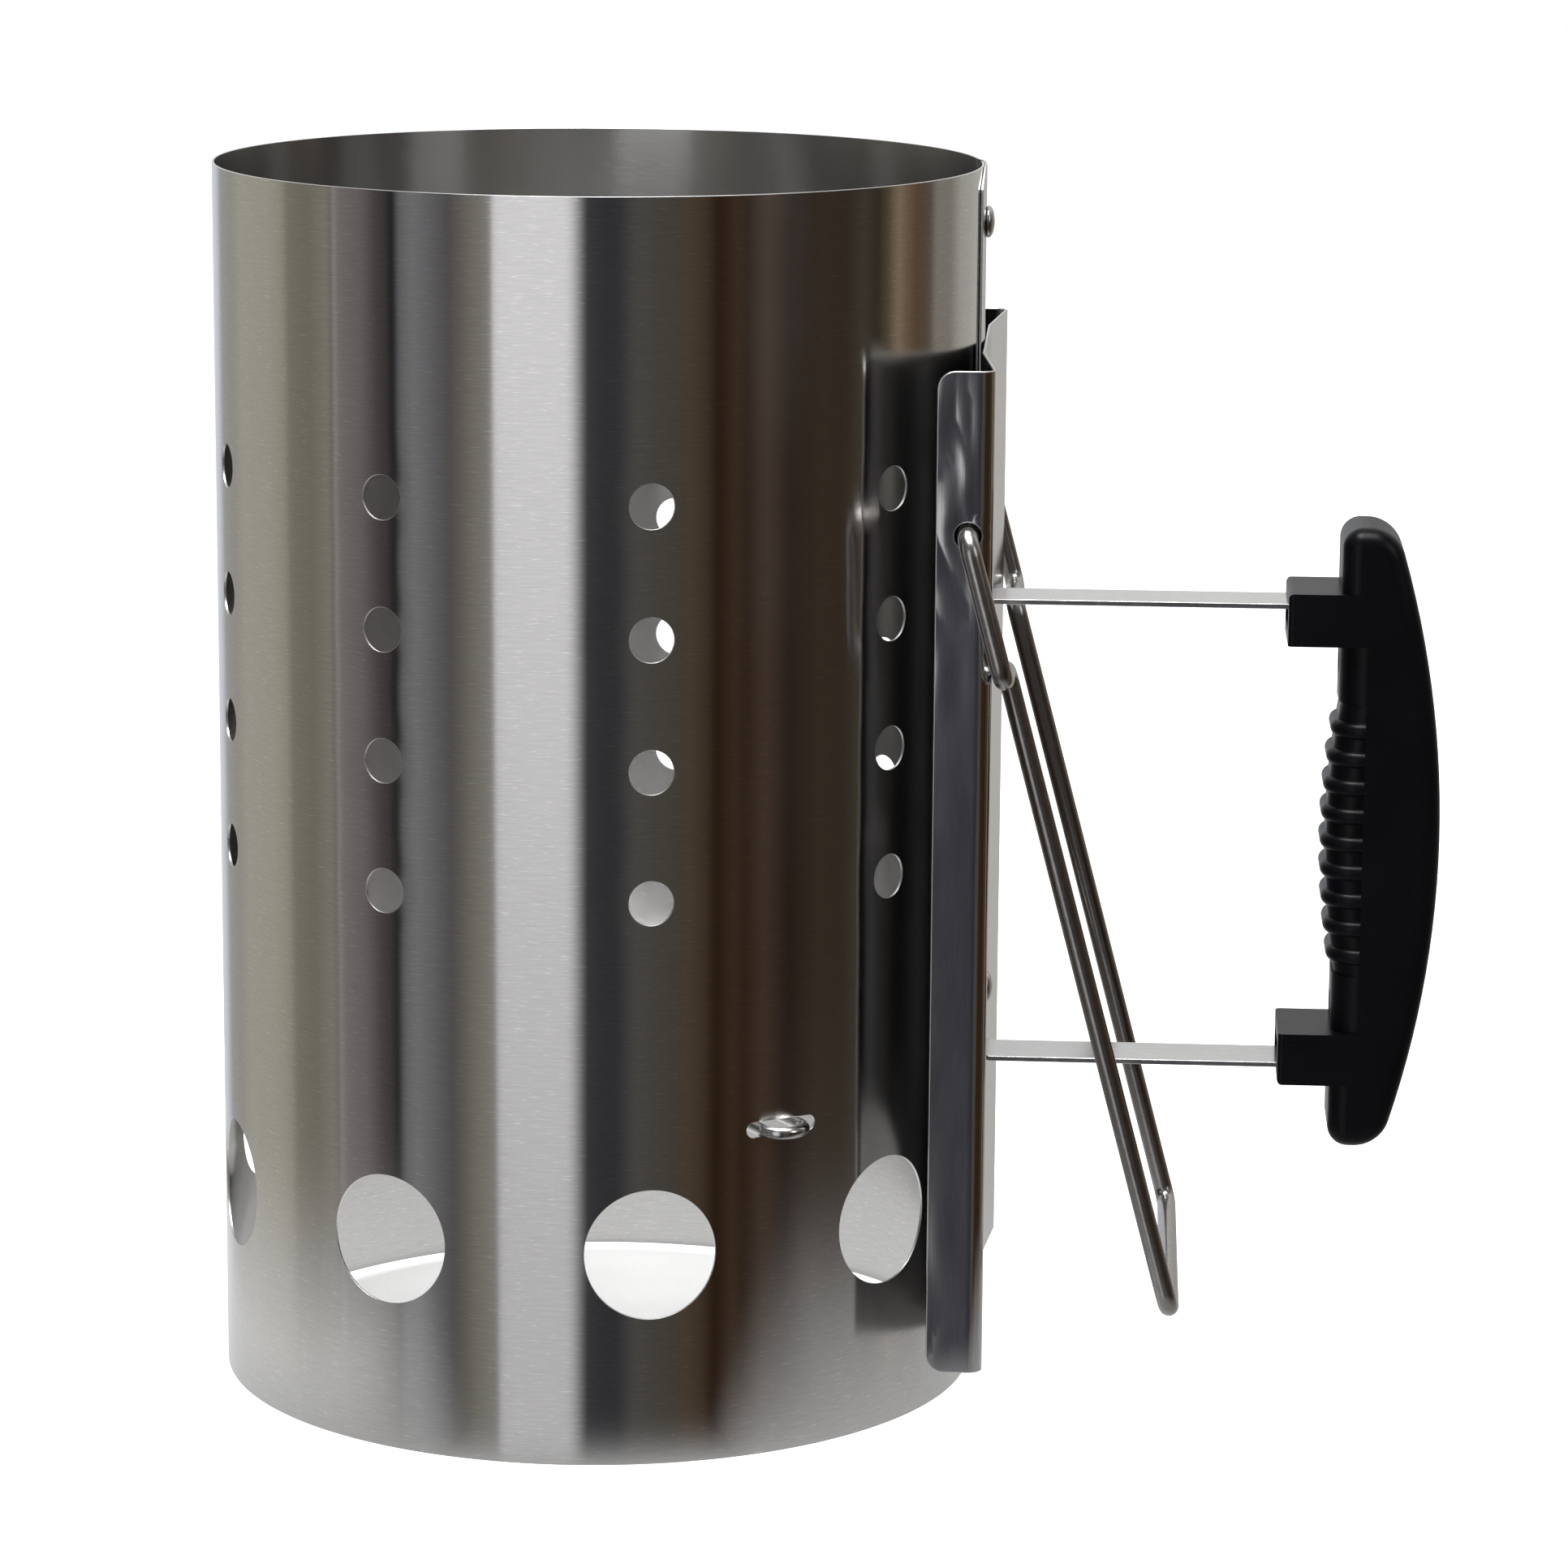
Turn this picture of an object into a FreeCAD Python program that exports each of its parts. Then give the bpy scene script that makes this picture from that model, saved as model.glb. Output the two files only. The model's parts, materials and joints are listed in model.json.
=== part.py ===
import FreeCAD, Part
import math
import os

# Chimney charcoal starter, millimetres, +Z up.
# Origin: on the tube's axis, at the floor. The handle is on the +X side.

# Tube: one rolled sheet, closed by a riveted lap seam on the handle side
TUBE_HEIGHT = 300.0
TUBE_RADIUS = 93.5
SHEET = 0.6
LAP_GAP = 0.1
LAP_HALF_ANGLE = 6.6
JOGGLE_START = 7.6
JOGGLE_END = 10.6
LAP_CORNER_HEIGHT = 4.5
LAP_CORNER_WIDTH = 6.0

# Air holes, in columns spread evenly from the middle of the hole pattern
PATTERN_TURN = 2.9
COLUMN_ANGLE = 40.0
COLUMNS_EACH_SIDE = 4
VENT_RADIUS = 5.3
VENT_TOP_Z = 229.2
VENT_PITCH = 31.0
VENT_ROWS = 4
DRAFT_HOLE_RADIUS = 15.7
DRAFT_HOLE_Z = 51.5

# Charcoal grate: two long wire hairpins whose loops poke out of opposite slots, two short ones
# that stop inside the wall, and rings welded on top
SLOT_ANGLES = (-60.0, 120.0)
SHORT_HAIRPIN_ANGLES = (30.0, 210.0)
SLOT_WIDTH = 18.4
SLOT_HEIGHT = 3.7
SLOT_Z = 80.0
GRATE_WIRE = 3.0
HAIRPIN_LOOP_RADIUS = 5.25
LONG_HAIRPIN_REACH = 98.5
SHORT_HAIRPIN_REACH = 86.0
HAIRPIN_INNER_END = 16.0
GRATE_RING_RADII = (("inner", 26.0), ("middle", 52.0), ("outer", 78.0))
HAIRPIN_REST_GAP = 0.1
WELD_DEPTH = 0.25

# Heat shield: a shallow pan whose web dips to touch the tube
SHIELD_SHEET = 0.7
SHIELD_FACE_X = 98.7
SHIELD_DIP_X = 95.0
SHIELD_DIP_HALF_WIDTH = 28.0
SHIELD_HALF_WIDTH = 64.4
SHIELD_BOTTOM_Z = 15.9
SHIELD_TOP_Z = 258.0
FLANGE_DEPTH = 13.8
FLANGE_CORNER = 4.0
FOLD_RADIUS = 3.0

# Handle strap: a flat bar bent into a U, with its ends turned in inside the grip
STRAP_WIDTH = 17.0
STRAP_THICKNESS = 1.3
STRAP_BEND = 2.6
HANDLE_Z = 137.1
STRAP_HALF_SPAN = 58.1
TAB_LENGTH = 20.0
TAB_HOLE_RADIUS = 1.9

# Grip: an outer shell half and a ribbed inner half, screwed together over the strap's tabs
GRIP_WIDTH = 27.0
GRIP_HALF_HEIGHT = 77.3
GRIP_APEX_X = 207.3
GRIP_BACK_RADIUS = 246.0
GRIP_INNER_X = 181.8
GRIP_JOINT_X = 188.4
TIP_OUTER_ROUND = 9.0
TIP_INNER_ROUND = 5.0
GRIP_EDGE_ROUND = 4.5
BOSS_END_X = 169.0
BOSS_INNER_Z = 48.4
BOSS_JOINT_Z = 51.7
BOSS_OUTER_Z = 61.3
BOSS_EDGE_ROUND = 1.2
JOINT_GAP = 0.05
INSERT_HALF_WIDTH = 12.1
INSERT_APEX_X = 179.6
INSERT_RADIUS = 200.0
INSERT_CORNER = 7.0
INSERT_END_X = 181.9
INSERT_END_Z = 34.0
RIB_PITCH = 7.05
RIB_DROP = 0.8
RIBS_EACH_SIDE = 4
RIB_RADIUS = 2.2
RIB_HEIGHT = 1.4
STRAP_CHANNEL_PLAY = 0.1
TONGUE_SETBACK = 2.0

# Grip screws
SCREW_Z = 43.2
SCREW_HEAD_RADIUS = 3.0
SCREW_HEAD_HEIGHT = 1.9
SCREW_HEAD_X = 184.0
SCREW_SHANK_RADIUS = 1.7
SCREW_LENGTH = 15.0
SCREW_HEAD_ROUND = 1.0
CROSS_LENGTH = 3.6
CROSS_WIDTH = 0.8
CROSS_DEPTH = 1.1
SCREW_RECESS_RADIUS = 3.4
SCREW_PLAY = 0.05
SCREW_SEAT = 0.02

# Blind rivets
RIVET_SHANK_RADIUS = 2.0
RIVET_HOLE_PLAY = 0.05
RIVET_HEAD_RADIUS = 3.9
RIVET_HEAD_HEIGHT = 1.9
RIVET_TAIL_RADIUS = 3.1
RIVET_TAIL_HEIGHT = 2.4
RIVET_TAIL_ROUND = 0.8
RIVET_TAIL_GAP = 0.15
RIVET_SEAT = 0.03
SEAM_RIVET_Z = (("seam_rivet_bottom", 8.0), ("seam_rivet_top", 286.3))
SHIELD_RIVET_Z = (("shield_rivet_bottom", 28.0), ("shield_rivet_top", 246.0))
STRAP_RIVET_Z = (("strap_rivet_lower", 96.0), ("strap_rivet_upper", 178.0))

# Wire bail: it hangs from the shield's flanges and rests against the shield's web
BAIL_WIRE = 4.8
PIVOT_X = 92.4
PIVOT_Z = 219.4
PIVOT_HOLE_RADIUS = 3.2
BAIL_STUB_Y = 57.0
BAIL_UPPER_Y = 69.1
BAIL_LOWER_Y = 48.5
BAIL_JOG = 35.0
BAIL_LENGTH = 198.1
BAIL_REST_ANGLE = 14.88
BAIL_BEND = 4.5

# Construction: how far cutting shapes overshoot, how deep fused pieces overlap, and the span in X
# of everything drilled through the wall on the handle side before it is turned into place
OVERSHOOT = 1.0
OVERLAP = 0.5
DRILL_START_X = 80.0
DRILL_LENGTH = 25.0
INSERT_SPARE = 6.0
TOLERANCE = 0.01

V = FreeCAD.Vector
X_AXIS = V(1, 0, 0)
Y_AXIS = V(0, 1, 0)
Z_AXIS = V(0, 0, 1)
ORIGIN = V(0, 0, 0)


def polar(radius, degrees, z=0.0):
    """A point at this radius and angle from +X about the tube's axis."""
    angle = math.radians(degrees)
    return V(radius * math.cos(angle), radius * math.sin(angle), z)


def arc_edge(radius, start, end):
    """A circular edge about the tube's axis from one angle to another."""
    middle = 0.5 * (start + end)
    return Part.Arc(polar(radius, start), polar(radius, middle), polar(radius, end)).toShape()


def line_edge(start, end):
    return Part.LineSegment(start, end).toShape()


def turned(shape, degrees):
    """A copy of the shape turned about the tube's axis."""
    copy = shape.copy()
    copy.rotate(ORIGIN, Z_AXIS, degrees)
    return copy


def mirrored_z(shape):
    """The shape's mirror image below the handle's middle height."""
    return shape.mirror(V(0, 0, HANDLE_Z), Z_AXIS)


def box(x0, x1, y0, y1, z0, z1):
    return Part.makeBox(x1 - x0, y1 - y0, z1 - z0, V(x0, y0, z0))


def x_cylinder(radius, x0, x1, z, y=0.0):
    return Part.makeCylinder(radius, x1 - x0, V(x0, y, z), X_AXIS)


def rounded_path(points, radius):
    """Straight runs through the points, joined by tangent arcs of one radius."""
    edges = []
    start = points[0]
    for before, corner, after in zip(points, points[1:], points[2:]):
        back = (before - corner).normalize()
        ahead = (after - corner).normalize()
        half_turn = 0.5 * back.getAngle(ahead)
        trim = radius / math.tan(half_turn)
        enter = corner + back * trim
        leave = corner + ahead * trim
        inward = (back + ahead).normalize()
        centre = corner + inward * (radius / math.sin(half_turn))
        edges.append(line_edge(start, enter))
        edges.append(Part.Arc(enter, centre - inward * radius, leave).toShape())
        start = leave
    edges.append(line_edge(start, points[-1]))
    return Part.Wire(edges)


def wire_rod(points, bend, diameter):
    """A round rod bent along the points."""
    direction = (points[1] - points[0]).normalize()
    section = Part.Wire([Part.makeCircle(diameter / 2, points[0], direction)])
    return rounded_path(points, bend).makePipeShell([section], True, False)


def wall_drill(radius, z, y=0.0):
    """A round cutter through the wall, the shield and the strap on the handle side."""
    return x_cylinder(radius, DRILL_START_X, DRILL_START_X + DRILL_LENGTH, z, y)


def rivet(face_x, z):
    """A domed head outside, a shank through the stack and a crushed tail inside the tube."""
    back_x = TUBE_RADIUS - SHEET - RIVET_TAIL_GAP
    head_x = face_x + RIVET_SEAT
    dome_radius = (RIVET_HEAD_RADIUS**2 + RIVET_HEAD_HEIGHT**2) / (2 * RIVET_HEAD_HEIGHT)
    dome = Part.makeSphere(dome_radius, V(head_x + RIVET_HEAD_HEIGHT - dome_radius, 0, z))
    head = dome.common(x_cylinder(RIVET_HEAD_RADIUS, head_x, head_x + RIVET_HEAD_HEIGHT, z))
    tail = x_cylinder(RIVET_TAIL_RADIUS, back_x - RIVET_TAIL_HEIGHT, back_x, z)
    tail = tail.makeFillet(RIVET_TAIL_ROUND, [edge_at(tail, back_x - RIVET_TAIL_HEIGHT)])
    shank = x_cylinder(RIVET_SHANK_RADIUS, back_x - OVERLAP, head_x + OVERLAP, z)
    return head.fuse([shank, tail]).removeSplitter()


def edge_at(shape, x):
    """The circular edge of a shape that lies in the plane at this X."""
    for edge in shape.Edges:
        bounds = edge.BoundBox
        if abs(bounds.XMin - x) < TOLERANCE and abs(bounds.XMax - x) < TOLERANCE:
            return edge
    raise ValueError("no edge at this X")


def rivet_holes(names_and_heights):
    """The drilled holes that the named rivets pass through, across every layer."""
    radius = RIVET_SHANK_RADIUS + RIVET_HOLE_PLAY
    return [wall_drill(radius, z) for _, z in names_and_heights]


def tube():
    """The rolled sheet: round, with its outer end joggled up over its inner end."""
    inner = TUBE_RADIUS - SHEET
    lap_inner = TUBE_RADIUS + LAP_GAP
    lap_outer = lap_inner + SHEET
    full = 360.0
    edges = [
        arc_edge(lap_outer, -LAP_HALF_ANGLE, JOGGLE_START),
        line_edge(polar(lap_outer, JOGGLE_START), polar(TUBE_RADIUS, JOGGLE_END)),
        arc_edge(TUBE_RADIUS, JOGGLE_END, full + LAP_HALF_ANGLE),
        line_edge(polar(TUBE_RADIUS, LAP_HALF_ANGLE), polar(inner, LAP_HALF_ANGLE)),
        arc_edge(inner, full + LAP_HALF_ANGLE, JOGGLE_END),
        line_edge(polar(inner, JOGGLE_END), polar(lap_inner, JOGGLE_START)),
        arc_edge(lap_inner, JOGGLE_START, -LAP_HALF_ANGLE),
        line_edge(polar(lap_inner, -LAP_HALF_ANGLE), polar(lap_outer, -LAP_HALF_ANGLE)),
    ]
    wall = Part.Face(Part.Wire(edges)).extrude(V(0, 0, TUBE_HEIGHT))
    cutters = lap_corner_cutters() + air_holes() + grate_slots()
    cutters += rivet_holes(SEAM_RIVET_Z + SHIELD_RIVET_Z + STRAP_RIVET_Z)
    return wall.cut(cutters)


def lap_corner_cutters():
    """Wedges that take the two corners off the lap's free edge, and leave the layer below."""
    layer_below = Part.makeCylinder(TUBE_RADIUS + LAP_GAP / 2, TUBE_HEIGHT + 2 * OVERSHOOT,
                                    V(0, 0, -OVERSHOOT))
    edge_y = polar(TUBE_RADIUS, -LAP_HALF_ANGLE).y
    cutters = []
    for end_z, inward in ((0.0, 1), (TUBE_HEIGHT, -1)):
        outside_y = edge_y - OVERSHOOT
        outside_z = end_z - inward * OVERSHOOT
        corner_z = end_z + inward * LAP_CORNER_HEIGHT
        outline = [(outside_y, outside_z), (edge_y + LAP_CORNER_WIDTH, outside_z)]
        outline += [(edge_y + LAP_CORNER_WIDTH, end_z), (edge_y, corner_z)]
        outline += [(outside_y, corner_z), outline[0]]
        points = [V(DRILL_START_X, y, z) for y, z in outline]
        wedge = Part.Face(Part.makePolygon(points)).extrude(V(DRILL_LENGTH, 0, 0))
        cutters.append(wedge.cut(layer_below))
    return cutters


def air_holes():
    """Columns of small vents, each over one large draught hole, all drilled square to the wall."""
    drills = []
    for step in range(1, COLUMNS_EACH_SIDE + 1):
        for side in (-1, 1):
            angle = PATTERN_TURN + side * step * COLUMN_ANGLE
            column = [wall_drill(DRAFT_HOLE_RADIUS, DRAFT_HOLE_Z)]
            for row in range(VENT_ROWS):
                column.append(wall_drill(VENT_RADIUS, VENT_TOP_Z - row * VENT_PITCH))
            drills += [turned(drill, angle) for drill in column]
    return drills


def grate_slots():
    """Round-ended slots that the grate's loops pass through."""
    slots = []
    round_end = SLOT_HEIGHT / 2
    flat = SLOT_WIDTH / 2 - round_end
    for angle in SLOT_ANGLES:
        middle = box(DRILL_START_X, DRILL_START_X + DRILL_LENGTH, -flat, flat,
                     SLOT_Z - round_end, SLOT_Z + round_end)
        ends = [wall_drill(round_end, SLOT_Z, y) for y in (-flat, flat)]
        slots.append(turned(middle.fuse(ends).removeSplitter(), PATTERN_TURN + angle))
    return slots


def hairpin_z():
    """The height of the hairpins' centre line: they lie on the slots' lower edges."""
    return SLOT_Z - SLOT_HEIGHT / 2 + GRATE_WIRE / 2 + HAIRPIN_REST_GAP


def grate_hairpin(angle, reach):
    """Two parallel legs joined by a round loop at the outer end."""
    r = HAIRPIN_LOOP_RADIUS
    z = hairpin_z()
    bend_x = reach - r
    path = Part.Wire([
        line_edge(V(HAIRPIN_INNER_END, -r, z), V(bend_x, -r, z)),
        Part.Arc(V(bend_x, -r, z), V(reach, 0, z), V(bend_x, r, z)).toShape(),
        line_edge(V(bend_x, r, z), V(HAIRPIN_INNER_END, r, z)),
    ])
    section = Part.Wire([Part.makeCircle(GRATE_WIRE / 2, V(HAIRPIN_INNER_END, -r, z), X_AXIS)])
    return turned(path.makePipeShell([section], True, False), PATTERN_TURN + angle)


def grate_ring(radius):
    """A wire ring that lies on the hairpins, sunk a little where it is welded."""
    z = hairpin_z() + GRATE_WIRE - WELD_DEPTH
    return Part.makeTorus(radius, GRATE_WIRE / 2, V(0, 0, z), Z_AXIS)


def heat_shield():
    """The folded pan: two flanges, two sloping wings and a middle that touches the tube."""
    half = SHIELD_SHEET / 2
    face = SHIELD_FACE_X - half
    dip = SHIELD_DIP_X - half
    side = SHIELD_HALF_WIDTH - half
    edge = SHIELD_FACE_X - FLANGE_DEPTH
    outline = [V(edge, -side, SHIELD_BOTTOM_Z), V(face, -side, SHIELD_BOTTOM_Z)]
    outline.append(V(dip, -SHIELD_DIP_HALF_WIDTH, SHIELD_BOTTOM_Z))
    outline.append(V(dip, SHIELD_DIP_HALF_WIDTH, SHIELD_BOTTOM_Z))
    outline += [V(face, side, SHIELD_BOTTOM_Z), V(edge, side, SHIELD_BOTTOM_Z)]
    height = SHIELD_TOP_Z - SHIELD_BOTTOM_Z
    pan = strip_solid(outline, FOLD_RADIUS, SHIELD_SHEET, V(0, 0, height))
    pan = pan.cut(flange_corner_cutters(edge))
    reach = SHIELD_HALF_WIDTH + OVERSHOOT
    pivot = Part.makeCylinder(PIVOT_HOLE_RADIUS, 2 * reach, V(PIVOT_X, -reach, PIVOT_Z), Y_AXIS)
    return pan.cut([pivot] + rivet_holes(SHIELD_RIVET_Z + STRAP_RIVET_Z))


def strip_solid(outline, bend, thickness, travel):
    """A bent strip: the outline's two offsets joined into a face, then swept straight."""
    centre_line = rounded_path(outline, bend)
    face = centre_line.makeOffset2D(thickness / 2, 0, False, True)
    back = centre_line.makeOffset2D(-thickness / 2, 0, False, True)
    first = [face.OrderedVertexes[0].Point, face.OrderedVertexes[-1].Point]
    second = [back.OrderedVertexes[0].Point, back.OrderedVertexes[-1].Point]
    if first[0].distanceToPoint(second[0]) > first[0].distanceToPoint(second[1]):
        second.reverse()
    caps = [line_edge(a, b) for a, b in zip(first, second)]
    loop = Part.Wire(Part.__sortEdges__(face.Edges + back.Edges + caps))
    return Part.Face(loop).extrude(travel)


def flange_corner_cutters(edge_x):
    """What rounds the free corners of both flanges, at the top and at the bottom."""
    r = FLANGE_CORNER
    reach = SHIELD_HALF_WIDTH + OVERSHOOT
    cutters = []
    for z, inward in ((SHIELD_BOTTOM_Z, 1), (SHIELD_TOP_Z, -1)):
        low, high = sorted((z - inward * OVERSHOOT, z + inward * r))
        corner = box(edge_x - OVERSHOOT, edge_x + r, -reach, reach, low, high)
        keep = Part.makeCylinder(r, 2 * reach, V(edge_x + r, -reach, z + inward * r), Y_AXIS)
        cutters.append(corner.cut(keep))
    return cutters


def handle_strap():
    """The U-shaped flat bar, riveted by its back and held by its turned-in ends."""
    half = STRAP_THICKNESS / 2
    back_x = SHIELD_DIP_X + half
    tab_x = GRIP_JOINT_X + half + JOINT_GAP
    arm_z = STRAP_HALF_SPAN - half
    tab_z = STRAP_HALF_SPAN - TAB_LENGTH
    outline = [(tab_x, tab_z), (tab_x, arm_z), (back_x, arm_z)]
    outline += [(back_x, -arm_z), (tab_x, -arm_z), (tab_x, -tab_z)]
    points = [V(x, -STRAP_WIDTH / 2, HANDLE_Z + z) for x, z in outline]
    strap = strip_solid(points, STRAP_BEND, STRAP_THICKNESS, V(0, STRAP_WIDTH, 0))
    tab_hole = x_cylinder(TAB_HOLE_RADIUS, GRIP_INNER_X, GRIP_APEX_X, HANDLE_Z + SCREW_Z)
    return strap.cut(both_ends(tab_hole) + rivet_holes(STRAP_RIVET_Z))


def both_ends(shape):
    """The shape and its mirror image at the grip's other end."""
    return [shape, mirrored_z(shape)]


def y_edges(shape, x_low, x_high):
    """Edges that run straight across the grip, between two X values."""
    found = []
    for edge in shape.Edges:
        bounds = edge.BoundBox
        across = bounds.YLength > GRIP_WIDTH - OVERLAP and bounds.XLength < TOLERANCE
        if across and bounds.ZLength < TOLERANCE and x_low < bounds.XMin < x_high:
            found.append(edge)
    return found


def side_edges(shape, x_low):
    """Edges in the grip's two side faces that stay beyond an X value."""
    found = []
    for edge in shape.Edges:
        bounds = edge.BoundBox
        on_side = bounds.YLength < TOLERANCE and abs(abs(bounds.YMin) - GRIP_WIDTH / 2) < TOLERANCE
        if on_side and bounds.XMin > x_low:
            found.append(edge)
    return found


def strap_channel():
    """Room in the upper boss for the strap's arm and its turned-in tab."""
    play = STRAP_CHANNEL_PLAY
    half = STRAP_WIDTH / 2 + play
    top = HANDLE_Z + STRAP_HALF_SPAN + play
    tab_end = HANDLE_Z + STRAP_HALF_SPAN - TAB_LENGTH - play
    tab_back = GRIP_JOINT_X + JOINT_GAP + STRAP_THICKNESS + play
    arm_bottom = HANDLE_Z + BOSS_JOINT_Z - OVERSHOOT
    arm = box(BOSS_END_X - OVERSHOOT, tab_back, -half, half, arm_bottom, top)
    tab = box(GRIP_JOINT_X - OVERSHOOT, tab_back, -half, half, tab_end, top)
    return arm.fuse(tab)


def grip_back():
    """The outer half: a bowed bar with lobes past two bosses that carry the strap's ends."""
    half = GRIP_WIDTH / 2
    low = HANDLE_Z - GRIP_HALF_HEIGHT
    high = HANDLE_Z + GRIP_HALF_HEIGHT
    axis_x = GRIP_APEX_X - GRIP_BACK_RADIUS
    bow = Part.makeCylinder(GRIP_BACK_RADIUS, GRIP_WIDTH, V(axis_x, -half, HANDLE_Z), Y_AXIS)
    inner_low = GRIP_INNER_X - OVERSHOOT
    inner_high = GRIP_INNER_X + OVERSHOOT
    bar = bow.common(box(GRIP_INNER_X, GRIP_APEX_X + OVERSHOOT, -half, half, low, high))
    bar = bar.makeFillet(TIP_OUTER_ROUND, y_edges(bar, inner_high, GRIP_APEX_X))
    bar = bar.makeFillet(TIP_INNER_ROUND, y_edges(bar, inner_low, inner_high))
    bar = bar.makeFillet(GRIP_EDGE_ROUND, side_edges(bar, GRIP_INNER_X + OVERLAP))
    boss = box(BOSS_END_X, GRIP_JOINT_X, -half, half, HANDLE_Z + BOSS_INNER_Z, HANDLE_Z + BOSS_OUTER_Z)
    rounded = [e for e in boss.Edges if e.BoundBox.XMax < BOSS_END_X + TOLERANCE]
    boss = boss.makeFillet(BOSS_EDGE_ROUND, rounded)
    wide = half + OVERSHOOT
    room = box(BOSS_END_X - OVERSHOOT, GRIP_JOINT_X, -wide, wide,
               HANDLE_Z - BOSS_JOINT_Z, HANDLE_Z + BOSS_JOINT_Z)
    screw_hole = x_cylinder(SCREW_SHANK_RADIUS + SCREW_PLAY, GRIP_JOINT_X - OVERSHOOT,
                            SCREW_HEAD_X + SCREW_LENGTH + OVERSHOOT, HANDLE_Z + SCREW_Z)
    hollows = [room] + both_ends(strap_channel()) + both_ends(screw_hole)
    body = bar.fuse(both_ends(boss)).cut(hollows)
    return body.removeSplitter()


def insert_face(front_x, z):
    """The inner half's section: flat at the joint, with rounded front corners."""
    half = INSERT_HALF_WIDTH
    back = GRIP_JOINT_X + INSERT_SPARE
    r = INSERT_CORNER
    bulge = r * (1 - math.sqrt(0.5))
    edges = [
        line_edge(V(back, -half, z), V(front_x + r, -half, z)),
        Part.Arc(V(front_x + r, -half, z), V(front_x + bulge, -half + bulge, z),
                 V(front_x, -half + r, z)).toShape(),
        line_edge(V(front_x, -half + r, z), V(front_x, half - r, z)),
        Part.Arc(V(front_x, half - r, z), V(front_x + bulge, half - bulge, z),
                 V(front_x + r, half, z)).toShape(),
        line_edge(V(front_x + r, half, z), V(back, half, z)),
        line_edge(V(back, half, z), V(back, -half, z)),
    ]
    return Part.Face(Part.Wire(edges))


def insert_front_x(z):
    """Where the bowed front of the inner half lies at a height from its middle."""
    sagitta = INSERT_RADIUS - math.sqrt(INSERT_RADIUS**2 - z**2)
    return INSERT_APEX_X + sagitta


def finger_rib(z):
    """A round bead that wraps the front and both sides of the inner half."""
    sunk = RIB_RADIUS - RIB_HEIGHT
    half = INSERT_HALF_WIDTH - sunk
    front = insert_front_x(z) + sunk
    corner = INSERT_CORNER - sunk
    back = GRIP_JOINT_X + OVERSHOOT
    height = HANDLE_Z + z
    points = [V(back, -half, height), V(front, -half, height), V(front, half, height),
              V(back, half, height)]
    return wire_rod(points, corner, 2 * RIB_RADIUS)


def insert_end_plate():
    """The plate and tongue that close the upper boss and its strap channel."""
    half = GRIP_WIDTH / 2
    plate = box(BOSS_END_X, GRIP_JOINT_X, -half, half,
                HANDLE_Z + BOSS_INNER_Z, HANDLE_Z + BOSS_JOINT_Z - JOINT_GAP)
    corners = [e for e in plate.Edges
               if e.BoundBox.XMax < BOSS_END_X + TOLERANCE and e.BoundBox.ZLength > OVERLAP]
    tongue_half = STRAP_WIDTH / 2 - STRAP_CHANNEL_PLAY
    tongue_top = HANDLE_Z + STRAP_HALF_SPAN - STRAP_THICKNESS - STRAP_CHANNEL_PLAY
    tongue = box(BOSS_END_X + TONGUE_SETBACK, GRIP_JOINT_X - STRAP_BEND, -tongue_half, tongue_half,
                 HANDLE_Z + BOSS_INNER_Z, tongue_top)
    return plate.makeFillet(BOSS_EDGE_ROUND, corners).fuse(tongue)


def grip_insert():
    """The ribbed inner half, whose end plates and tongues close the strap's channels."""
    centre = V(INSERT_APEX_X + INSERT_RADIUS, 0, HANDLE_Z)
    spread = 2 * math.degrees(math.asin(BOSS_INNER_Z / INSERT_RADIUS)) + 1
    first_face = insert_face(INSERT_APEX_X, HANDLE_Z)
    first_face.rotate(centre, Y_AXIS, -spread / 2)
    bowed = first_face.revolve(centre, Y_AXIS, spread)
    end_height = BOSS_INNER_Z - INSERT_END_Z
    end = insert_face(INSERT_END_X, HANDLE_Z + INSERT_END_Z).extrude(V(0, 0, end_height))
    ribs = [finger_rib(step * RIB_PITCH - RIB_DROP) for step in range(-RIBS_EACH_SIDE, RIBS_EACH_SIDE + 1)]
    body = bowed.fuse(both_ends(end) + both_ends(insert_end_plate()) + ribs)
    wide = GRIP_WIDTH
    high = 2 * GRIP_HALF_HEIGHT
    behind = box(GRIP_JOINT_X, GRIP_APEX_X, -wide, wide, HANDLE_Z - high, HANDLE_Z + high)
    screw_z = HANDLE_Z + SCREW_Z
    recess = x_cylinder(SCREW_RECESS_RADIUS, BOSS_END_X, SCREW_HEAD_X + SCREW_HEAD_HEIGHT, screw_z)
    shank = x_cylinder(SCREW_SHANK_RADIUS + SCREW_PLAY, BOSS_END_X, GRIP_JOINT_X + OVERSHOOT, screw_z)
    return body.cut([behind] + both_ends(recess) + both_ends(shank)).removeSplitter()


def grip_screw(z):
    """A domed screw that enters from the hand's side and bites in the outer half."""
    head_back = SCREW_HEAD_X + SCREW_HEAD_HEIGHT - SCREW_SEAT
    head = x_cylinder(SCREW_HEAD_RADIUS, SCREW_HEAD_X, head_back, z)
    head = head.makeFillet(SCREW_HEAD_ROUND, [edge_at(head, SCREW_HEAD_X)])
    shank = x_cylinder(SCREW_SHANK_RADIUS, head_back - OVERLAP, SCREW_HEAD_X + SCREW_LENGTH, z)
    bottom = SCREW_HEAD_X + CROSS_DEPTH
    slots = []
    for half_y, half_z in ((CROSS_LENGTH / 2, CROSS_WIDTH / 2), (CROSS_WIDTH / 2, CROSS_LENGTH / 2)):
        slots.append(box(SCREW_HEAD_X - OVERSHOOT, bottom, -half_y, half_y, z - half_z, z + half_z))
    return head.fuse(shank).cut(slots).removeSplitter()


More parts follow.
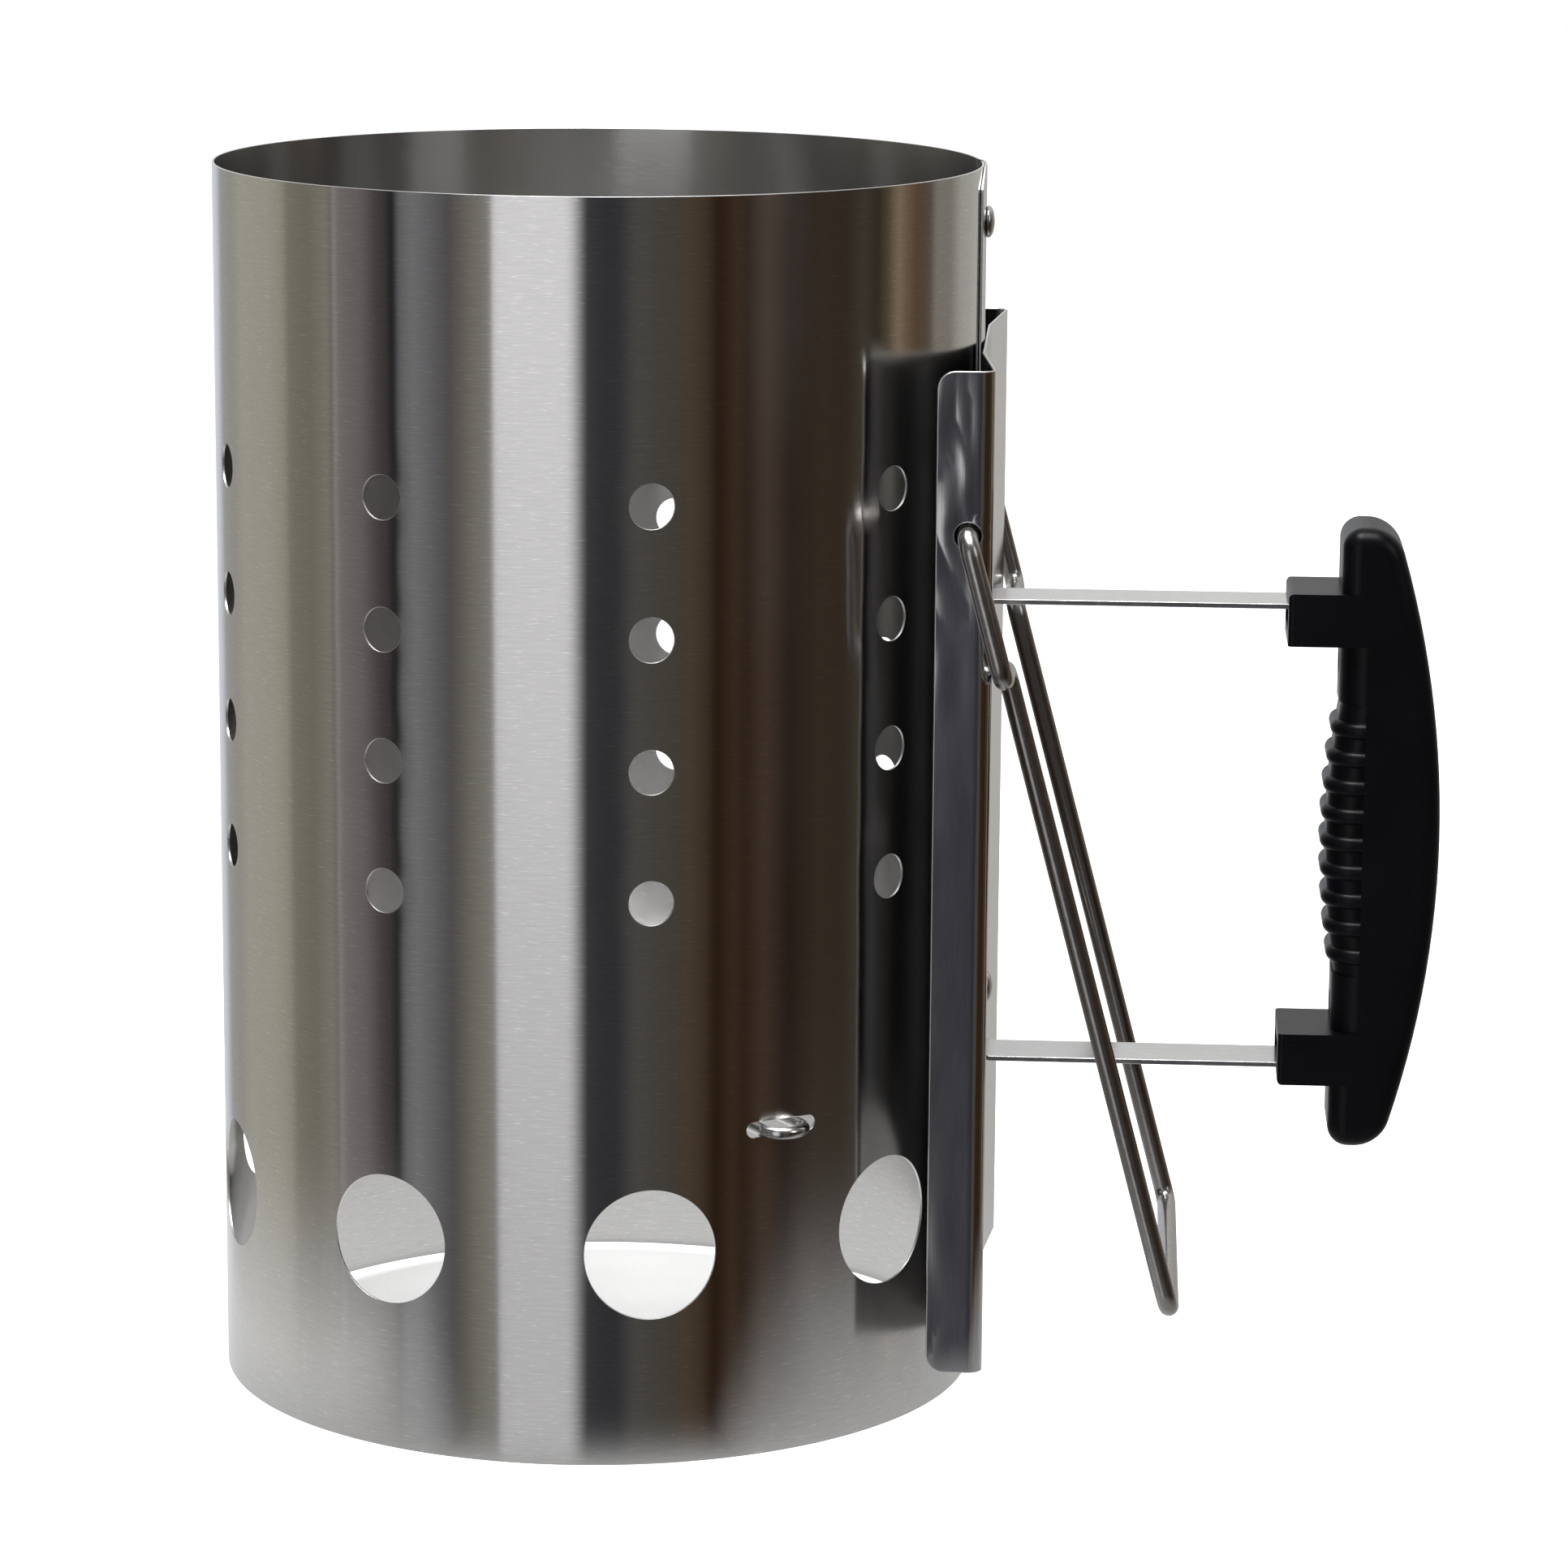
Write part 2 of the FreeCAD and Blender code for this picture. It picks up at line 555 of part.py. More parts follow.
def bail():
    """The wire loop: stubs in the flanges, legs outside them, jogs, a narrower loop below."""
    angle = math.radians(BAIL_REST_ANGLE)
    along = V(math.sin(angle), 0, -math.cos(angle))
    pivot = V(PIVOT_X, 0, PIVOT_Z)
    half = [(0.0, BAIL_STUB_Y), (0.0, BAIL_UPPER_Y), (BAIL_JOG, BAIL_UPPER_Y),
            (BAIL_JOG, BAIL_LOWER_Y), (BAIL_LENGTH, BAIL_LOWER_Y)]
    points = [pivot + along * s + V(0, -y, 0) for s, y in half]
    points += [pivot + along * s + V(0, y, 0) for s, y in reversed(half)]
    return wire_rod(points, BAIL_BEND, BAIL_WIRE)


def save(name, shape):
    """Write one sub-part after checking that it is a single sound solid."""
    if len(shape.Solids) != 1:
        raise ValueError("%s has %d solids" % (name, len(shape.Solids)))
    solid = shape.Solids[0]
    if not solid.isValid():
        raise ValueError("%s is not a valid solid" % name)
    solid.exportStep("parts/%s.step" % name)
    print("%-20s %10.1f mm3" % (name, solid.Volume))


def main():
    os.makedirs("parts", exist_ok=True)
    save("tube", tube())
    save("heat_shield", heat_shield())
    save("handle_strap", handle_strap())
    save("grip_back", grip_back())
    save("grip_insert", grip_insert())
    save("grip_screw_upper", grip_screw(HANDLE_Z + SCREW_Z))
    save("grip_screw_lower", grip_screw(HANDLE_Z - SCREW_Z))
    save("bail", bail())
    hairpins = [(angle, LONG_HAIRPIN_REACH) for angle in SLOT_ANGLES]
    hairpins += [(angle, SHORT_HAIRPIN_REACH) for angle in SHORT_HAIRPIN_ANGLES]
    for number, (angle, reach) in enumerate(hairpins, start=1):
        save("grate_hairpin_%d" % number, grate_hairpin(angle, reach))
    for name, radius in GRATE_RING_RADII:
        save("grate_ring_%s" % name, grate_ring(radius))
    seam_face = TUBE_RADIUS + LAP_GAP + SHEET
    strap_face = SHIELD_DIP_X + STRAP_THICKNESS
    stacks = ((SEAM_RIVET_Z, seam_face), (SHIELD_RIVET_Z, SHIELD_DIP_X), (STRAP_RIVET_Z, strap_face))
    for rivets, face_x in stacks:
        for name, z in rivets:
            save(name, rivet(face_x, z))


main()
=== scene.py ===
import json
import math

import bpy
from mathutils import Matrix, Vector, noise
from mathutils.geometry import delaunay_2d_cdt


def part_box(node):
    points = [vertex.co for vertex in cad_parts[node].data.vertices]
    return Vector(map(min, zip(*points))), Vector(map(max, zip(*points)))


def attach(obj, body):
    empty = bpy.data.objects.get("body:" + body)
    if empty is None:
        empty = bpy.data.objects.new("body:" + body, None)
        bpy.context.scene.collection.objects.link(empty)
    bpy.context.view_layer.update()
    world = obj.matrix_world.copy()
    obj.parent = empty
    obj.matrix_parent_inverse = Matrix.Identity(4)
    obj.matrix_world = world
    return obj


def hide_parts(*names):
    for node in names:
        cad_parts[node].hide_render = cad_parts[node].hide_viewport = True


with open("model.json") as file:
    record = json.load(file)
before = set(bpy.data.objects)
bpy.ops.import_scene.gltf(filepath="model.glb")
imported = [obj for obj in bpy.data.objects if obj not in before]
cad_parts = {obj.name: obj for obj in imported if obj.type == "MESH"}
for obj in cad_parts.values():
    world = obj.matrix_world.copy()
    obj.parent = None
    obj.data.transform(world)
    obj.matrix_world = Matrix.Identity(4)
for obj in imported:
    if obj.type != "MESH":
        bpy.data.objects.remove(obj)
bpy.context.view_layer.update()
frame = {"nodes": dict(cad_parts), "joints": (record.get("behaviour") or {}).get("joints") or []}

# Lengths below are in millimetres, in the frame's own axes. Meshes are written in metres.
MM = 0.001

# Tube blank: a rolled sheet whose outer end is joggled up over its inner end
TUBE_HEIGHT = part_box("tube")[1].z / MM
TUBE_RADIUS = 93.5
TUBE_SHEET = 0.6
LAP_LIFT = 0.7
LAP_HALF_ANGLE = 6.6
JOGGLE_START = 7.6
JOGGLE_END = 10.6
LAP_CORNER_HEIGHT = 4.5
LAP_CORNER_WIDTH = 6.0
TUBE_CUT_ROUNDING = 0.12

# The rolled sheet isn't quite even: slow waves, and a dish about each vent
TUBE_INSET = 0.012
TUBE_WAVE = 0.02
TUBE_WAVE_LENGTHS = (45.0, 160.0)
TUBE_DISH = 0.05
TUBE_DISH_REACH = 5.0
TUBE_DISH_LIMIT = 22.0

# Holes in the tube
PATTERN_TURN = 2.9
COLUMN_ANGLE = 40.0
COLUMNS_EACH_SIDE = 4
VENT_RADIUS = 5.3
VENT_TOP_Z = 229.2
VENT_PITCH = 31.0
VENT_ROWS = 4
DRAFT_HOLE_RADIUS = 15.7
DRAFT_HOLE_Z = 51.5
SLOT_ANGLES = (-60.0, 120.0)
SLOT_WIDTH = 18.4
SLOT_HEIGHT = 3.7
SLOT_Z = 80.0
RIVET_HOLE_RADIUS = 2.05
SEAM_RIVET_HEIGHTS = (8.0, 286.3)
SHIELD_RIVET_HEIGHTS = (28.0, 246.0)
STRAP_RIVET_HEIGHTS = (96.0, 178.0)

# Grate
GRATE_WIRE = 3.0
LONG_HAIRPIN_REACH = 98.5
SHORT_HAIRPIN_REACH = 86.0
SHORT_HAIRPIN_ANGLES = (30.0, 210.0)
HAIRPIN_LOOP_RADIUS = 5.25
HAIRPIN_LOOP_STEPS = 24
HAIRPIN_INNER_END = 16.0
HAIRPIN_Z = 79.75
GRATE_RINGS = {"inner": 26.0, "middle": 52.0, "outer": 78.0}
GRATE_RING_Z = 82.5
GRATE_RING_STEPS = 96

# Heat shield
SHIELD_SHEET = 0.7
SHIELD_FACE_X = 98.7
SHIELD_DIP_X = 95.0
SHIELD_DIP_HALF_WIDTH = 28.0
SHIELD_HALF_WIDTH = 64.4
SHIELD_BOTTOM_Z = 15.9
SHIELD_TOP_Z = 258.0
SHIELD_CUT_ROUNDING = 0.28
FLANGE_DEPTH = 13.8
FLANGE_CORNER = 4.0
FOLD_RADIUS = 3.0
FOLD_STEPS = 8
PIVOT_HOLE_RADIUS = 3.2

# The flanges aren't quite even: their free edges flare out at half height and wave more strongly
# above it, where a soft crease wanders along them, and the sheet is dished about the pivots
FLANGE_FLARE = 0.35
FLANGE_FLARE_LOST = 0.9
FLANGE_FOOT_Z = (110.0, 25.0)
FLANGE_LIVELY_Z = (140.0, 200.0)
FLANGE_WAVE = 0.12
FLANGE_WAVE_RISE = 0.2
FLANGE_WAVE_LENGTHS = (7.0, 17.0)
CREASE_Z = (196.0, 252.0)
CREASE_DEPTH = (9.5, 4.0)
CREASE_WANDER = 2.6
CREASE_WANDER_LENGTH = 9.0
CREASE_HEIGHT = 0.09
CREASE_WIDTH = 1.5
PIVOT_DISH = 0.08
PIVOT_DISH_REACH = 2.2

# Handle strap
STRAP_WIDTH = 17.0
STRAP_THICKNESS = 1.3
STRAP_CUT_ROUNDING = 0.25
STRAP_CORNER = 1.5
STRAP_BEND = 2.6
STRAP_BEND_STEPS = 8
STRAP_HALF_SPAN = 58.1
STRAP_TAB_X = 189.1
STRAP_TAB_LENGTH = 20.0
HANDLE_Z = 137.1
SCREW_Z = 43.2
TAB_HOLE_RADIUS = 1.9

# Blind rivets: the crushed tail as (distance from its end, radius), the domed head, and the dimple
# that the mandrel leaves in it as (depth, radius)
RIVET_TAIL = ((0.0, 1.2), (0.0, 2.3), (0.3, 2.9), (0.8, 3.1), (2.0, 3.1), (2.35, 2.9), (2.4, 2.0))
RIVET_DIMPLE = ((0.0, 1.05), (0.3, 0.9), (0.45, 0.75), (0.3, 0.4), (0.25, 0.1))
RIVET_SHANK_RADIUS = 2.0
RIVET_HEAD_ROUNDING = 0.25
RIVET_BRIM = 0.35
RIVET_DOME = 1.55
RIVET_DOME_FULLNESS = 0.8
RIVET_DOME_STEPS = 9

# Bail: its pivot is the hinge of the frame
PIVOT = Vector(frame["joints"][0]["pos_m"]) / MM
BAIL_WIRE = 4.8
BAIL_STUB_Y = 57.0
BAIL_UPPER_Y = 69.1
BAIL_LOWER_Y = 48.5
BAIL_JOG = 35.0
BAIL_LENGTH = 198.1
BAIL_REST_ANGLE = 14.88
BAIL_BEND = 4.5
BAIL_BEND_STEPS = 10

# Camera, in millimetres and degrees
CAMERA_PLACE = Vector((125.8, -1316.1, 417.3))
CAMERA_YAW = -3.47
CAMERA_PITCH = -11.61
CAMERA_ROLL = 0.396
CAMERA_LENS = 124.77

# Which of a sheet's materials its front, its cut edges and its back wear
FRONT_FINISH = 0
EDGE_FINISH = 1
BACK_FINISH = 2

# Mesh rings about each kind of hole: how far outside its edge they lie, and the points in each
VENT_MESH = ((0.6, 1.4, 2.5, 4.0), 36)
DRAFT_MESH = ((0.8, 2.0, 3.6), 72)
SLOT_MESH = ((0.7, 1.8), 24)
RIVET_MESH = ((0.8,), 16)
PIVOT_MESH = ((0.6, 1.5), 28)
TAB_MESH = ((0.8,), 20)

# Spacing of the mesh's grid lines on each sheet, closer together in the joggle and the flanges
TUBE_COLUMN_SPACING = 2.45
JOGGLE_COLUMN_SPACING = 0.6
TUBE_ROW_SPACING = 6.0
SHIELD_COLUMN_SPACING = 3.0
FLANGE_COLUMN_SPACING = 0.9
SHIELD_ROW_SPACING = 2.2
STRAP_COLUMN_SPACING = 4.0
STRAP_ROW_SPACING = 2.1

# How far the grid's points keep from a blank's sides and its ends, and from each hole's outermost
# ring as a share of a column
GRID_SIDE_GAP = 0.05
GRID_END_GAP = 0.3
GRID_HOLE_GAP = 0.35

# How much of a wire's radius its rounded end takes, and the flat disc left in its middle
WIRE_END_ROUNDING = 0.25
WIRE_END_DISC = 0.35


# ---------------------------------------------------------------- meshes

def share_between(value, start, end):
    """How far a value has come from start to end, held between 0 and 1."""
    return max(0.0, min(1.0, (value - start) / (end - start)))


def rounded_path(points, radius, steps):
    """Stations (place, direction) along straight runs joined by arcs of one radius."""
    stations = [(points[0], (points[1] - points[0]).normalized())]
    for before, corner, after in zip(points, points[1:], points[2:]):
        back = (before - corner).normalized()
        ahead = (after - corner).normalized()
        half_turn = 0.5 * back.angle(ahead)
        trim = radius / math.tan(half_turn)
        centre = corner + (back + ahead).normalized() * (radius / math.sin(half_turn))
        start = corner + back * trim - centre
        finish = corner + ahead * trim - centre
        axis = start.cross(finish).normalized()
        for step in range(steps + 1):
            turn = Matrix.Rotation(start.angle(finish) * step / steps, 3, axis)
            stations.append((centre + turn @ start, turn @ -back))
    stations.append((points[-1], (points[-1] - points[-2]).normalized()))
    return stations


def new_piece(name, vertices, faces, normals=None, uvs=None, finishes=None):
    """A smooth-shaded object from millimetre points, with its own normals where they are given.

    finishes gives each face the number of its material."""
    mesh = bpy.data.meshes.new(name)
    mesh.from_pydata([Vector(v) * MM for v in vertices], [], faces)
    mesh.polygons.foreach_set("use_smooth", [True] * len(faces))
    if uvs:
        layer = mesh.uv_layers.new(name="blank")
        for loop in mesh.loops:
            layer.data[loop.index].uv = Vector(uvs[loop.vertex_index]) * MM
    if finishes:
        mesh.polygons.foreach_set("material_index", finishes)
    if normals:
        mesh.normals_split_custom_set_from_vertices(normals)
    piece = bpy.data.objects.new(name, mesh)
    bpy.context.scene.collection.objects.link(piece)
    return piece


def finish_piece(piece, body, replaced, materials):
    """Give a piece its materials, and tell the frame what it is."""
    for material in materials:
        piece.data.materials.append(material)
    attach(piece, body)
    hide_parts(replaced)


class Hole:
    """A round or round-ended hole in a flat blank, and the rings of mesh points about it.

    half_flat is half the length of a round-ended hole's straight sides."""

    def __init__(self, u, v, radius, mesh, half_flat=0.0):
        self.centre = Vector((u, v))
        self.radius = radius
        self.rings, self.points = mesh
        self.half_flat = half_flat

    def loop(self, offset):
        """Points round the hole, clockwise, this far outside its edge."""
        result = []
        for step in range(self.points):
            angle = -2 * math.pi * (step + 0.5) / self.points
            reach = self.radius + offset
            shift = math.copysign(self.half_flat, math.cos(angle))
            result.append(self.centre + Vector((reach * math.cos(angle) + shift, reach * math.sin(angle))))
        return result

    def distance(self, point):
        """How far a point is from the hole's edge, negative inside."""
        away = point - self.centre
        along = max(-self.half_flat, min(self.half_flat, away.x))
        return (away - Vector((along, 0.0))).length - self.radius


def spread(start, end, spacing):
    """Evenly spaced values from start to end, both included."""
    count = max(1, round(abs(end - start) / spacing))
    return [start + (end - start) * step / count for step in range(count + 1)]


def along_grid(outline, columns, rows):
    """The outline with a point added wherever a straight side crosses a grid line."""
    tiny = 1e-6
    clear = 0.2
    result = []
    for start, end in zip(outline, outline[1:] + outline[:1]):
        result.append(start)
        if abs(start.x - end.x) < tiny:
            values = [(v, Vector((start.x, v))) for v in rows]
            low, high = sorted((start.y, end.y))
        elif abs(start.y - end.y) < tiny:
            values = [(u, Vector((u, start.y))) for u in columns]
            low, high = sorted((start.x, end.x))
        else:
            continue
        inner = [p for value, p in values if low + clear < value < high - clear]
        result += sorted(inner, key=lambda p: (p - start).length)
    return result


def corner_arc(centre, radius, first_angle, steps=5):
    """Points of a quarter circle, counterclockwise from an angle in degrees."""
    angles = [math.radians(first_angle + 90 * step / steps) for step in range(steps + 1)]
    return [Vector(centre) + radius * Vector((math.cos(a), math.sin(a))) for a in angles]


def rounded_outline(u0, u1, v0, v1, radius):
    """A rectangle with rounded corners, counterclockwise."""
    left, right, low, high = u0 + radius, u1 - radius, v0 + radius, v1 - radius
    outline = corner_arc((left, low), radius, 180) + corner_arc((right, low), radius, 270)
    return outline + corner_arc((right, high), radius, 0) + corner_arc((left, high), radius, 90)


def side_of(loop):
    """For each point of a loop, the unit direction to the right of travel."""
    result = []
    for before, after in zip(loop[-1:] + loop[:-1], loop[1:] + loop[:1]):
        travel = (after - before).normalized()
        result.append(Vector((travel.y, -travel.x)))
    return result


def encloses(loop, point):
    """Whether a closed loop goes round a point of the flat blank.

    It does where a line from the point to the right crosses an odd number of its sides."""
    odd = False
    for a, b in zip(loop, loop[1:] + loop[:1]):
        if (a.y > point.y) != (b.y > point.y):
            crossing = a.x + (point.y - a.y) * (b.x - a.x) / (b.y - a.y)
            odd = odd != (crossing > point.x)
    return odd


def triangulate(outline, holes, columns, rows, edge):
    """Triangles of a flat blank: (points, triangles, loops of rim point indices, outline first)."""
    points = []
    loops = []
    for loop in [outline] + [hole.loop(edge) for hole in holes]:
        loops.append(list(range(len(points), len(points) + len(loop))))
        points += loop
    constraints = [(a, b) for loop in loops for a, b in zip(loop, loop[1:] + loop[:1])]
    for hole in holes:
        for offset in hole.rings:
            points += hole.loop(edge + offset)
    margin = GRID_HOLE_GAP * (columns[1] - columns[0])
    gaps = [(hole, edge + hole.rings[-1] + margin) for hole in holes]
    low = Vector((min(p.x for p in outline), min(p.y for p in outline)))
    high = Vector((max(p.x for p in outline), max(p.y for p in outline)))
    for u in columns:
        if low.x + GRID_SIDE_GAP < u < high.x - GRID_SIDE_GAP:
            near = [(hole, gap) for hole, gap in gaps
                    if abs(hole.centre.x - u) < hole.radius + hole.half_flat + gap]
            for v in rows:
                point = Vector((u, v))
                inside = low.y + GRID_END_GAP < v < high.y - GRID_END_GAP
                if inside and all(hole.distance(point) > gap for hole, gap in near):
                    points.append(point)
    inside_constraints = 1
    tiny = 1e-7
    flat, _, faces, origins, _, _ = delaunay_2d_cdt(points, constraints, [], inside_constraints, tiny)
    index = [origin[0] for origin in origins]
    rims = [[points[i] for i in loop] for loop in loops[1:]]
    triangles = []
    for face in faces:
        middle = sum((flat[i] for i in face), Vector((0, 0))) / len(face)
        near = [rim for hole, rim in zip(holes, rims) if hole.distance(middle) < edge]
        if not any(encloses(rim, middle) for rim in near):
            triangles.append(tuple(index[i] for i in face))
    return points, triangles, loops


def sheet_piece(name, surface, thickness, edge, outline, holes, columns, rows):
    """A bent sheet: a flat blank with holes, laid on a surface and given rounded cut edges.

    surface(u, v) is where a point of the blank's middle layer ends up once it is bent, and edge is
    the radius of the cut edges' rounding."""
    probe = 0.02
    points, triangles, loops = triangulate(outline, holes, columns, rows, edge)
    used = {i for triangle in triangles for i in triangle} | {i for loop in loops for i in loop}
    vertices, normals, uvs, faces = [], [], [], []
    front, back, frames = {}, {}, {}
    for i in sorted(used):
        u, v = points[i]
        along = (surface(u + probe, v) - surface(u - probe, v)).normalized()
        across = (surface(u, v + probe) - surface(u, v - probe)).normalized()
        normal = along.cross(across).normalized()
        middle = surface(u, v)
        frames[i] = (middle, along, across, normal)
        for table, side in ((front, 1), (back, -1)):
            table[i] = len(vertices)
            vertices.append(middle + normal * (side * thickness / 2))
            normals.append(normal * side)
            uvs.append((u, v))
    for a, b, c in triangles:
        faces.append((front[a], front[b], front[c]))
        faces.append((back[c], back[b], back[a]))
    finishes = [FRONT_FINISH, BACK_FINISH] * len(triangles)
    half = thickness / 2 - edge
    for loop in loops:
        sides = side_of([points[i] for i in loop])
        strips = []
        for i, (side_u, side_v) in zip(loop, sides):
            middle, along, across, normal = frames[i]
            outward = (along * side_u + across * side_v).normalized()
            strip = [front[i]]
            for angle, shift in ((45, half), (90, half), (90, -half), (135, -half)):
                lean = math.radians(angle)
                direction = outward * math.sin(lean) + normal * math.cos(lean)
                strip.append(len(vertices))
                vertices.append(middle + normal * shift + direction * edge)
                normals.append(direction)
                uvs.append(points[i])
            strips.append(strip + [back[i]])
        for here, there in zip(strips, strips[1:] + strips[:1]):
            for j in range(len(here) - 1):
                faces.append((here[j], here[j + 1], there[j + 1], there[j]))
    finishes += [EDGE_FINISH] * (len(faces) - len(finishes))
    return new_piece(name, vertices, faces, normals, uvs, finishes)


def bent_strip(stations, depth_axis):
    """A surface function for a strip bent along the stations, u along them and v along an axis."""
    lengths = [0.0]
    for (here, _), (there, _) in zip(stations, stations[1:]):
        lengths.append(lengths[-1] + (there - here).length)

    def surface(u, v):
        for i in range(len(lengths) - 1):
            if u <= lengths[i + 1] or i == len(lengths) - 2:
                share = (u - lengths[i]) / (lengths[i + 1] - lengths[i])
                place = stations[i][0].lerp(stations[i + 1][0], share)
                return place + depth_axis * v
    return surface, lengths


def strip_columns(lengths, spacing, end_spacing):
    """A bent strip's mesh lines: one at each station, and evenly spaced ones between them.

    end_spacing is for the strip's first and last runs."""
    columns = []
    for start, end in zip(lengths, lengths[1:]):
        outermost = start == 0.0 or end == lengths[-1]
        columns += spread(start, end, end_spacing if outermost else spacing)[:-1]
    return columns + [lengths[-1]]


def wire_piece(name, stations, radius, closed=False, sides=24):
    """A round wire along the stations, with slightly rounded ends."""
    rings = []
    normal = stations[0][1].orthogonal().normalized()
    travelled = 0.0
    previous = stations[0][0]
    for place, direction in stations:
        travelled += (place - previous).length
        previous = place
        normal = (normal - direction * normal.dot(direction)).normalized()
        rings.append((place, direction, normal, radius, travelled))
    if not closed:
        for end, outward in ((0, -1), (-1, 1)):
            place, direction, normal, _, travelled = rings[end]
            caps = []
            for share in (0.0, 0.5, 0.85, 1.0):
                inset = WIRE_END_ROUNDING * radius * (1 - share)
                rounding = WIRE_END_ROUNDING * (1 - math.sqrt(1 - share**2))
                ring_radius = radius * (1 - rounding)
                caps.append((place - direction * (outward * inset), direction, normal,
                             ring_radius, travelled))
            caps.append((place, direction, normal, WIRE_END_DISC * radius, travelled))
            rings = list(reversed(caps)) + rings[1:] if end == 0 else rings[:-1] + caps
    vertices, uvs, faces = [], [], []
    for place, direction, normal, ring_radius, travelled in rings:
        side = direction.cross(normal)
        for step in range(sides):
            angle = 2 * math.pi * step / sides
            out = normal * math.cos(angle) + side * math.sin(angle)
            vertices.append(place + out * ring_radius)
            uvs.append((travelled, radius * angle))
    last = len(rings) if closed else len(rings) - 1
    for ring in range(last):
        for step in range(sides):
            here = ring * sides
            there = (ring + 1) % len(rings) * sides
            ahead = (step + 1) % sides
            faces.append((here + step, here + ahead, there + ahead, there + step))
    if not closed:
        faces.append(tuple(reversed(range(sides))))
        faces.append(tuple(range(len(vertices) - sides, len(vertices))))
    return new_piece(name, vertices, faces, uvs=uvs)


def turned_piece(name, profile, place, sides=40):
    """A solid of revolution about a line along +X. The profile is (x, radius) pairs."""
    vertices, faces, uvs = [], [], []
    for x, radius in profile:
        for step in range(sides):
            angle = 2 * math.pi * step / sides
            vertices.append(place + Vector((x, radius * math.cos(angle), radius * math.sin(angle))))
            uvs.append((x + radius, radius * angle))
    for ring in range(len(profile) - 1):
        here = ring * sides
        for step in range(sides):
            ahead = (step + 1) % sides
            faces.append((here + step, here + sides + step, here + sides + ahead, here + ahead))
    faces.append(tuple(range(sides)))
    faces.append(tuple(reversed(range(len(vertices) - sides, len(vertices)))))
    return new_piece(name, vertices, faces, uvs=uvs)


# ---------------------------------------------------------------- materials

class Nodes:
    """A short way to add and join nodes in one tree."""

    def __init__(self, tree):
        self.tree = tree
        tree.nodes.clear()

    def add(self, kind, inputs=None, **settings):
        node = self.tree.nodes.new(kind)
        for name, value in settings.items():
            setattr(node, name, value)
        for name, value in (inputs or {}).items():
            if isinstance(value, bpy.types.NodeSocket):
                self.join(value, node, name)
            else:
                node.inputs[name].default_value = value
        return node

    def math(self, operation, a, b=0.0):
        return self.add("ShaderNodeMath", {0: a, 1: b}, operation=operation).outputs[0]

    def join(self, output, node, name):
        self.tree.links.new(output, node.inputs[name])

    def ramp(self, factor, stops):
        node = self.add("ShaderNodeValToRGB", {"Fac": factor})
        elements = node.color_ramp.elements
        elements[0].position, elements[0].color = stops[0][0], (*stops[0][1], 1)
        elements[1].position, elements[1].color = stops[-1][0], (*stops[-1][1], 1)
        for position, colour in stops[1:-1]:
            elements.new(position).color = (*colour, 1)
        return node.outputs["Color"]

    def between(self, value, start, end, low=0.0, high=1.0, **settings):
        """A value that goes from start to end turned into one from low to high, and held beyond."""
        inputs = {"Value": value, "From Min": start, "From Max": end, "To Min": low, "To Max": high}
        return self.add("ShaderNodeMapRange", inputs, **settings).outputs[0]

    def level(self, factor, low, high):
        """A factor from 0 to 1 turned into a value from low to high."""
        return self.between(factor, 0.0, 1.0, low, high)

    def mix(self, share, first, second):
        """The first colour where the share is 0, and the second where it is 1."""
        inputs = {"Factor": share, "A": first, "B": second}
        return self.add("ShaderNodeMix", inputs, data_type="RGBA").outputs["Result"]

    def noise(self, vector, scale, detail=3.0, roughness=0.5):
        """Clouds, scale of them to a metre, or to a unit of a stretched vector."""
        inputs = {"Vector": vector, "Scale": scale, "Detail": detail, "Roughness": roughness}
        return self.add("ShaderNodeTexNoise", inputs).outputs["Fac"]

    def stretched(self, vector, scale):
        return self.add("ShaderNodeMapping", {"Vector": vector, "Scale": scale}).outputs["Vector"]

    def bump(self, height, strength, depth):
        """The normal of a surface with this relief, at most depth millimetres deep."""
        inputs = {"Height": height, "Strength": strength, "Distance": depth * MM}
        return self.add("ShaderNodeBump", inputs).outputs[0]


def empty_material(name):
    material = bpy.data.materials.new(name)
    material.use_nodes = True
    return material, Nodes(material.node_tree)


def new_material(name, shader_inputs):
    material, nodes = empty_material(name)
    shader = nodes.add("ShaderNodeBsdfPrincipled", shader_inputs)
    output = nodes.add("ShaderNodeOutputMaterial", {"Surface": shader.outputs[0]})
    material.node_tree.nodes.active = output
    return material, nodes, shader


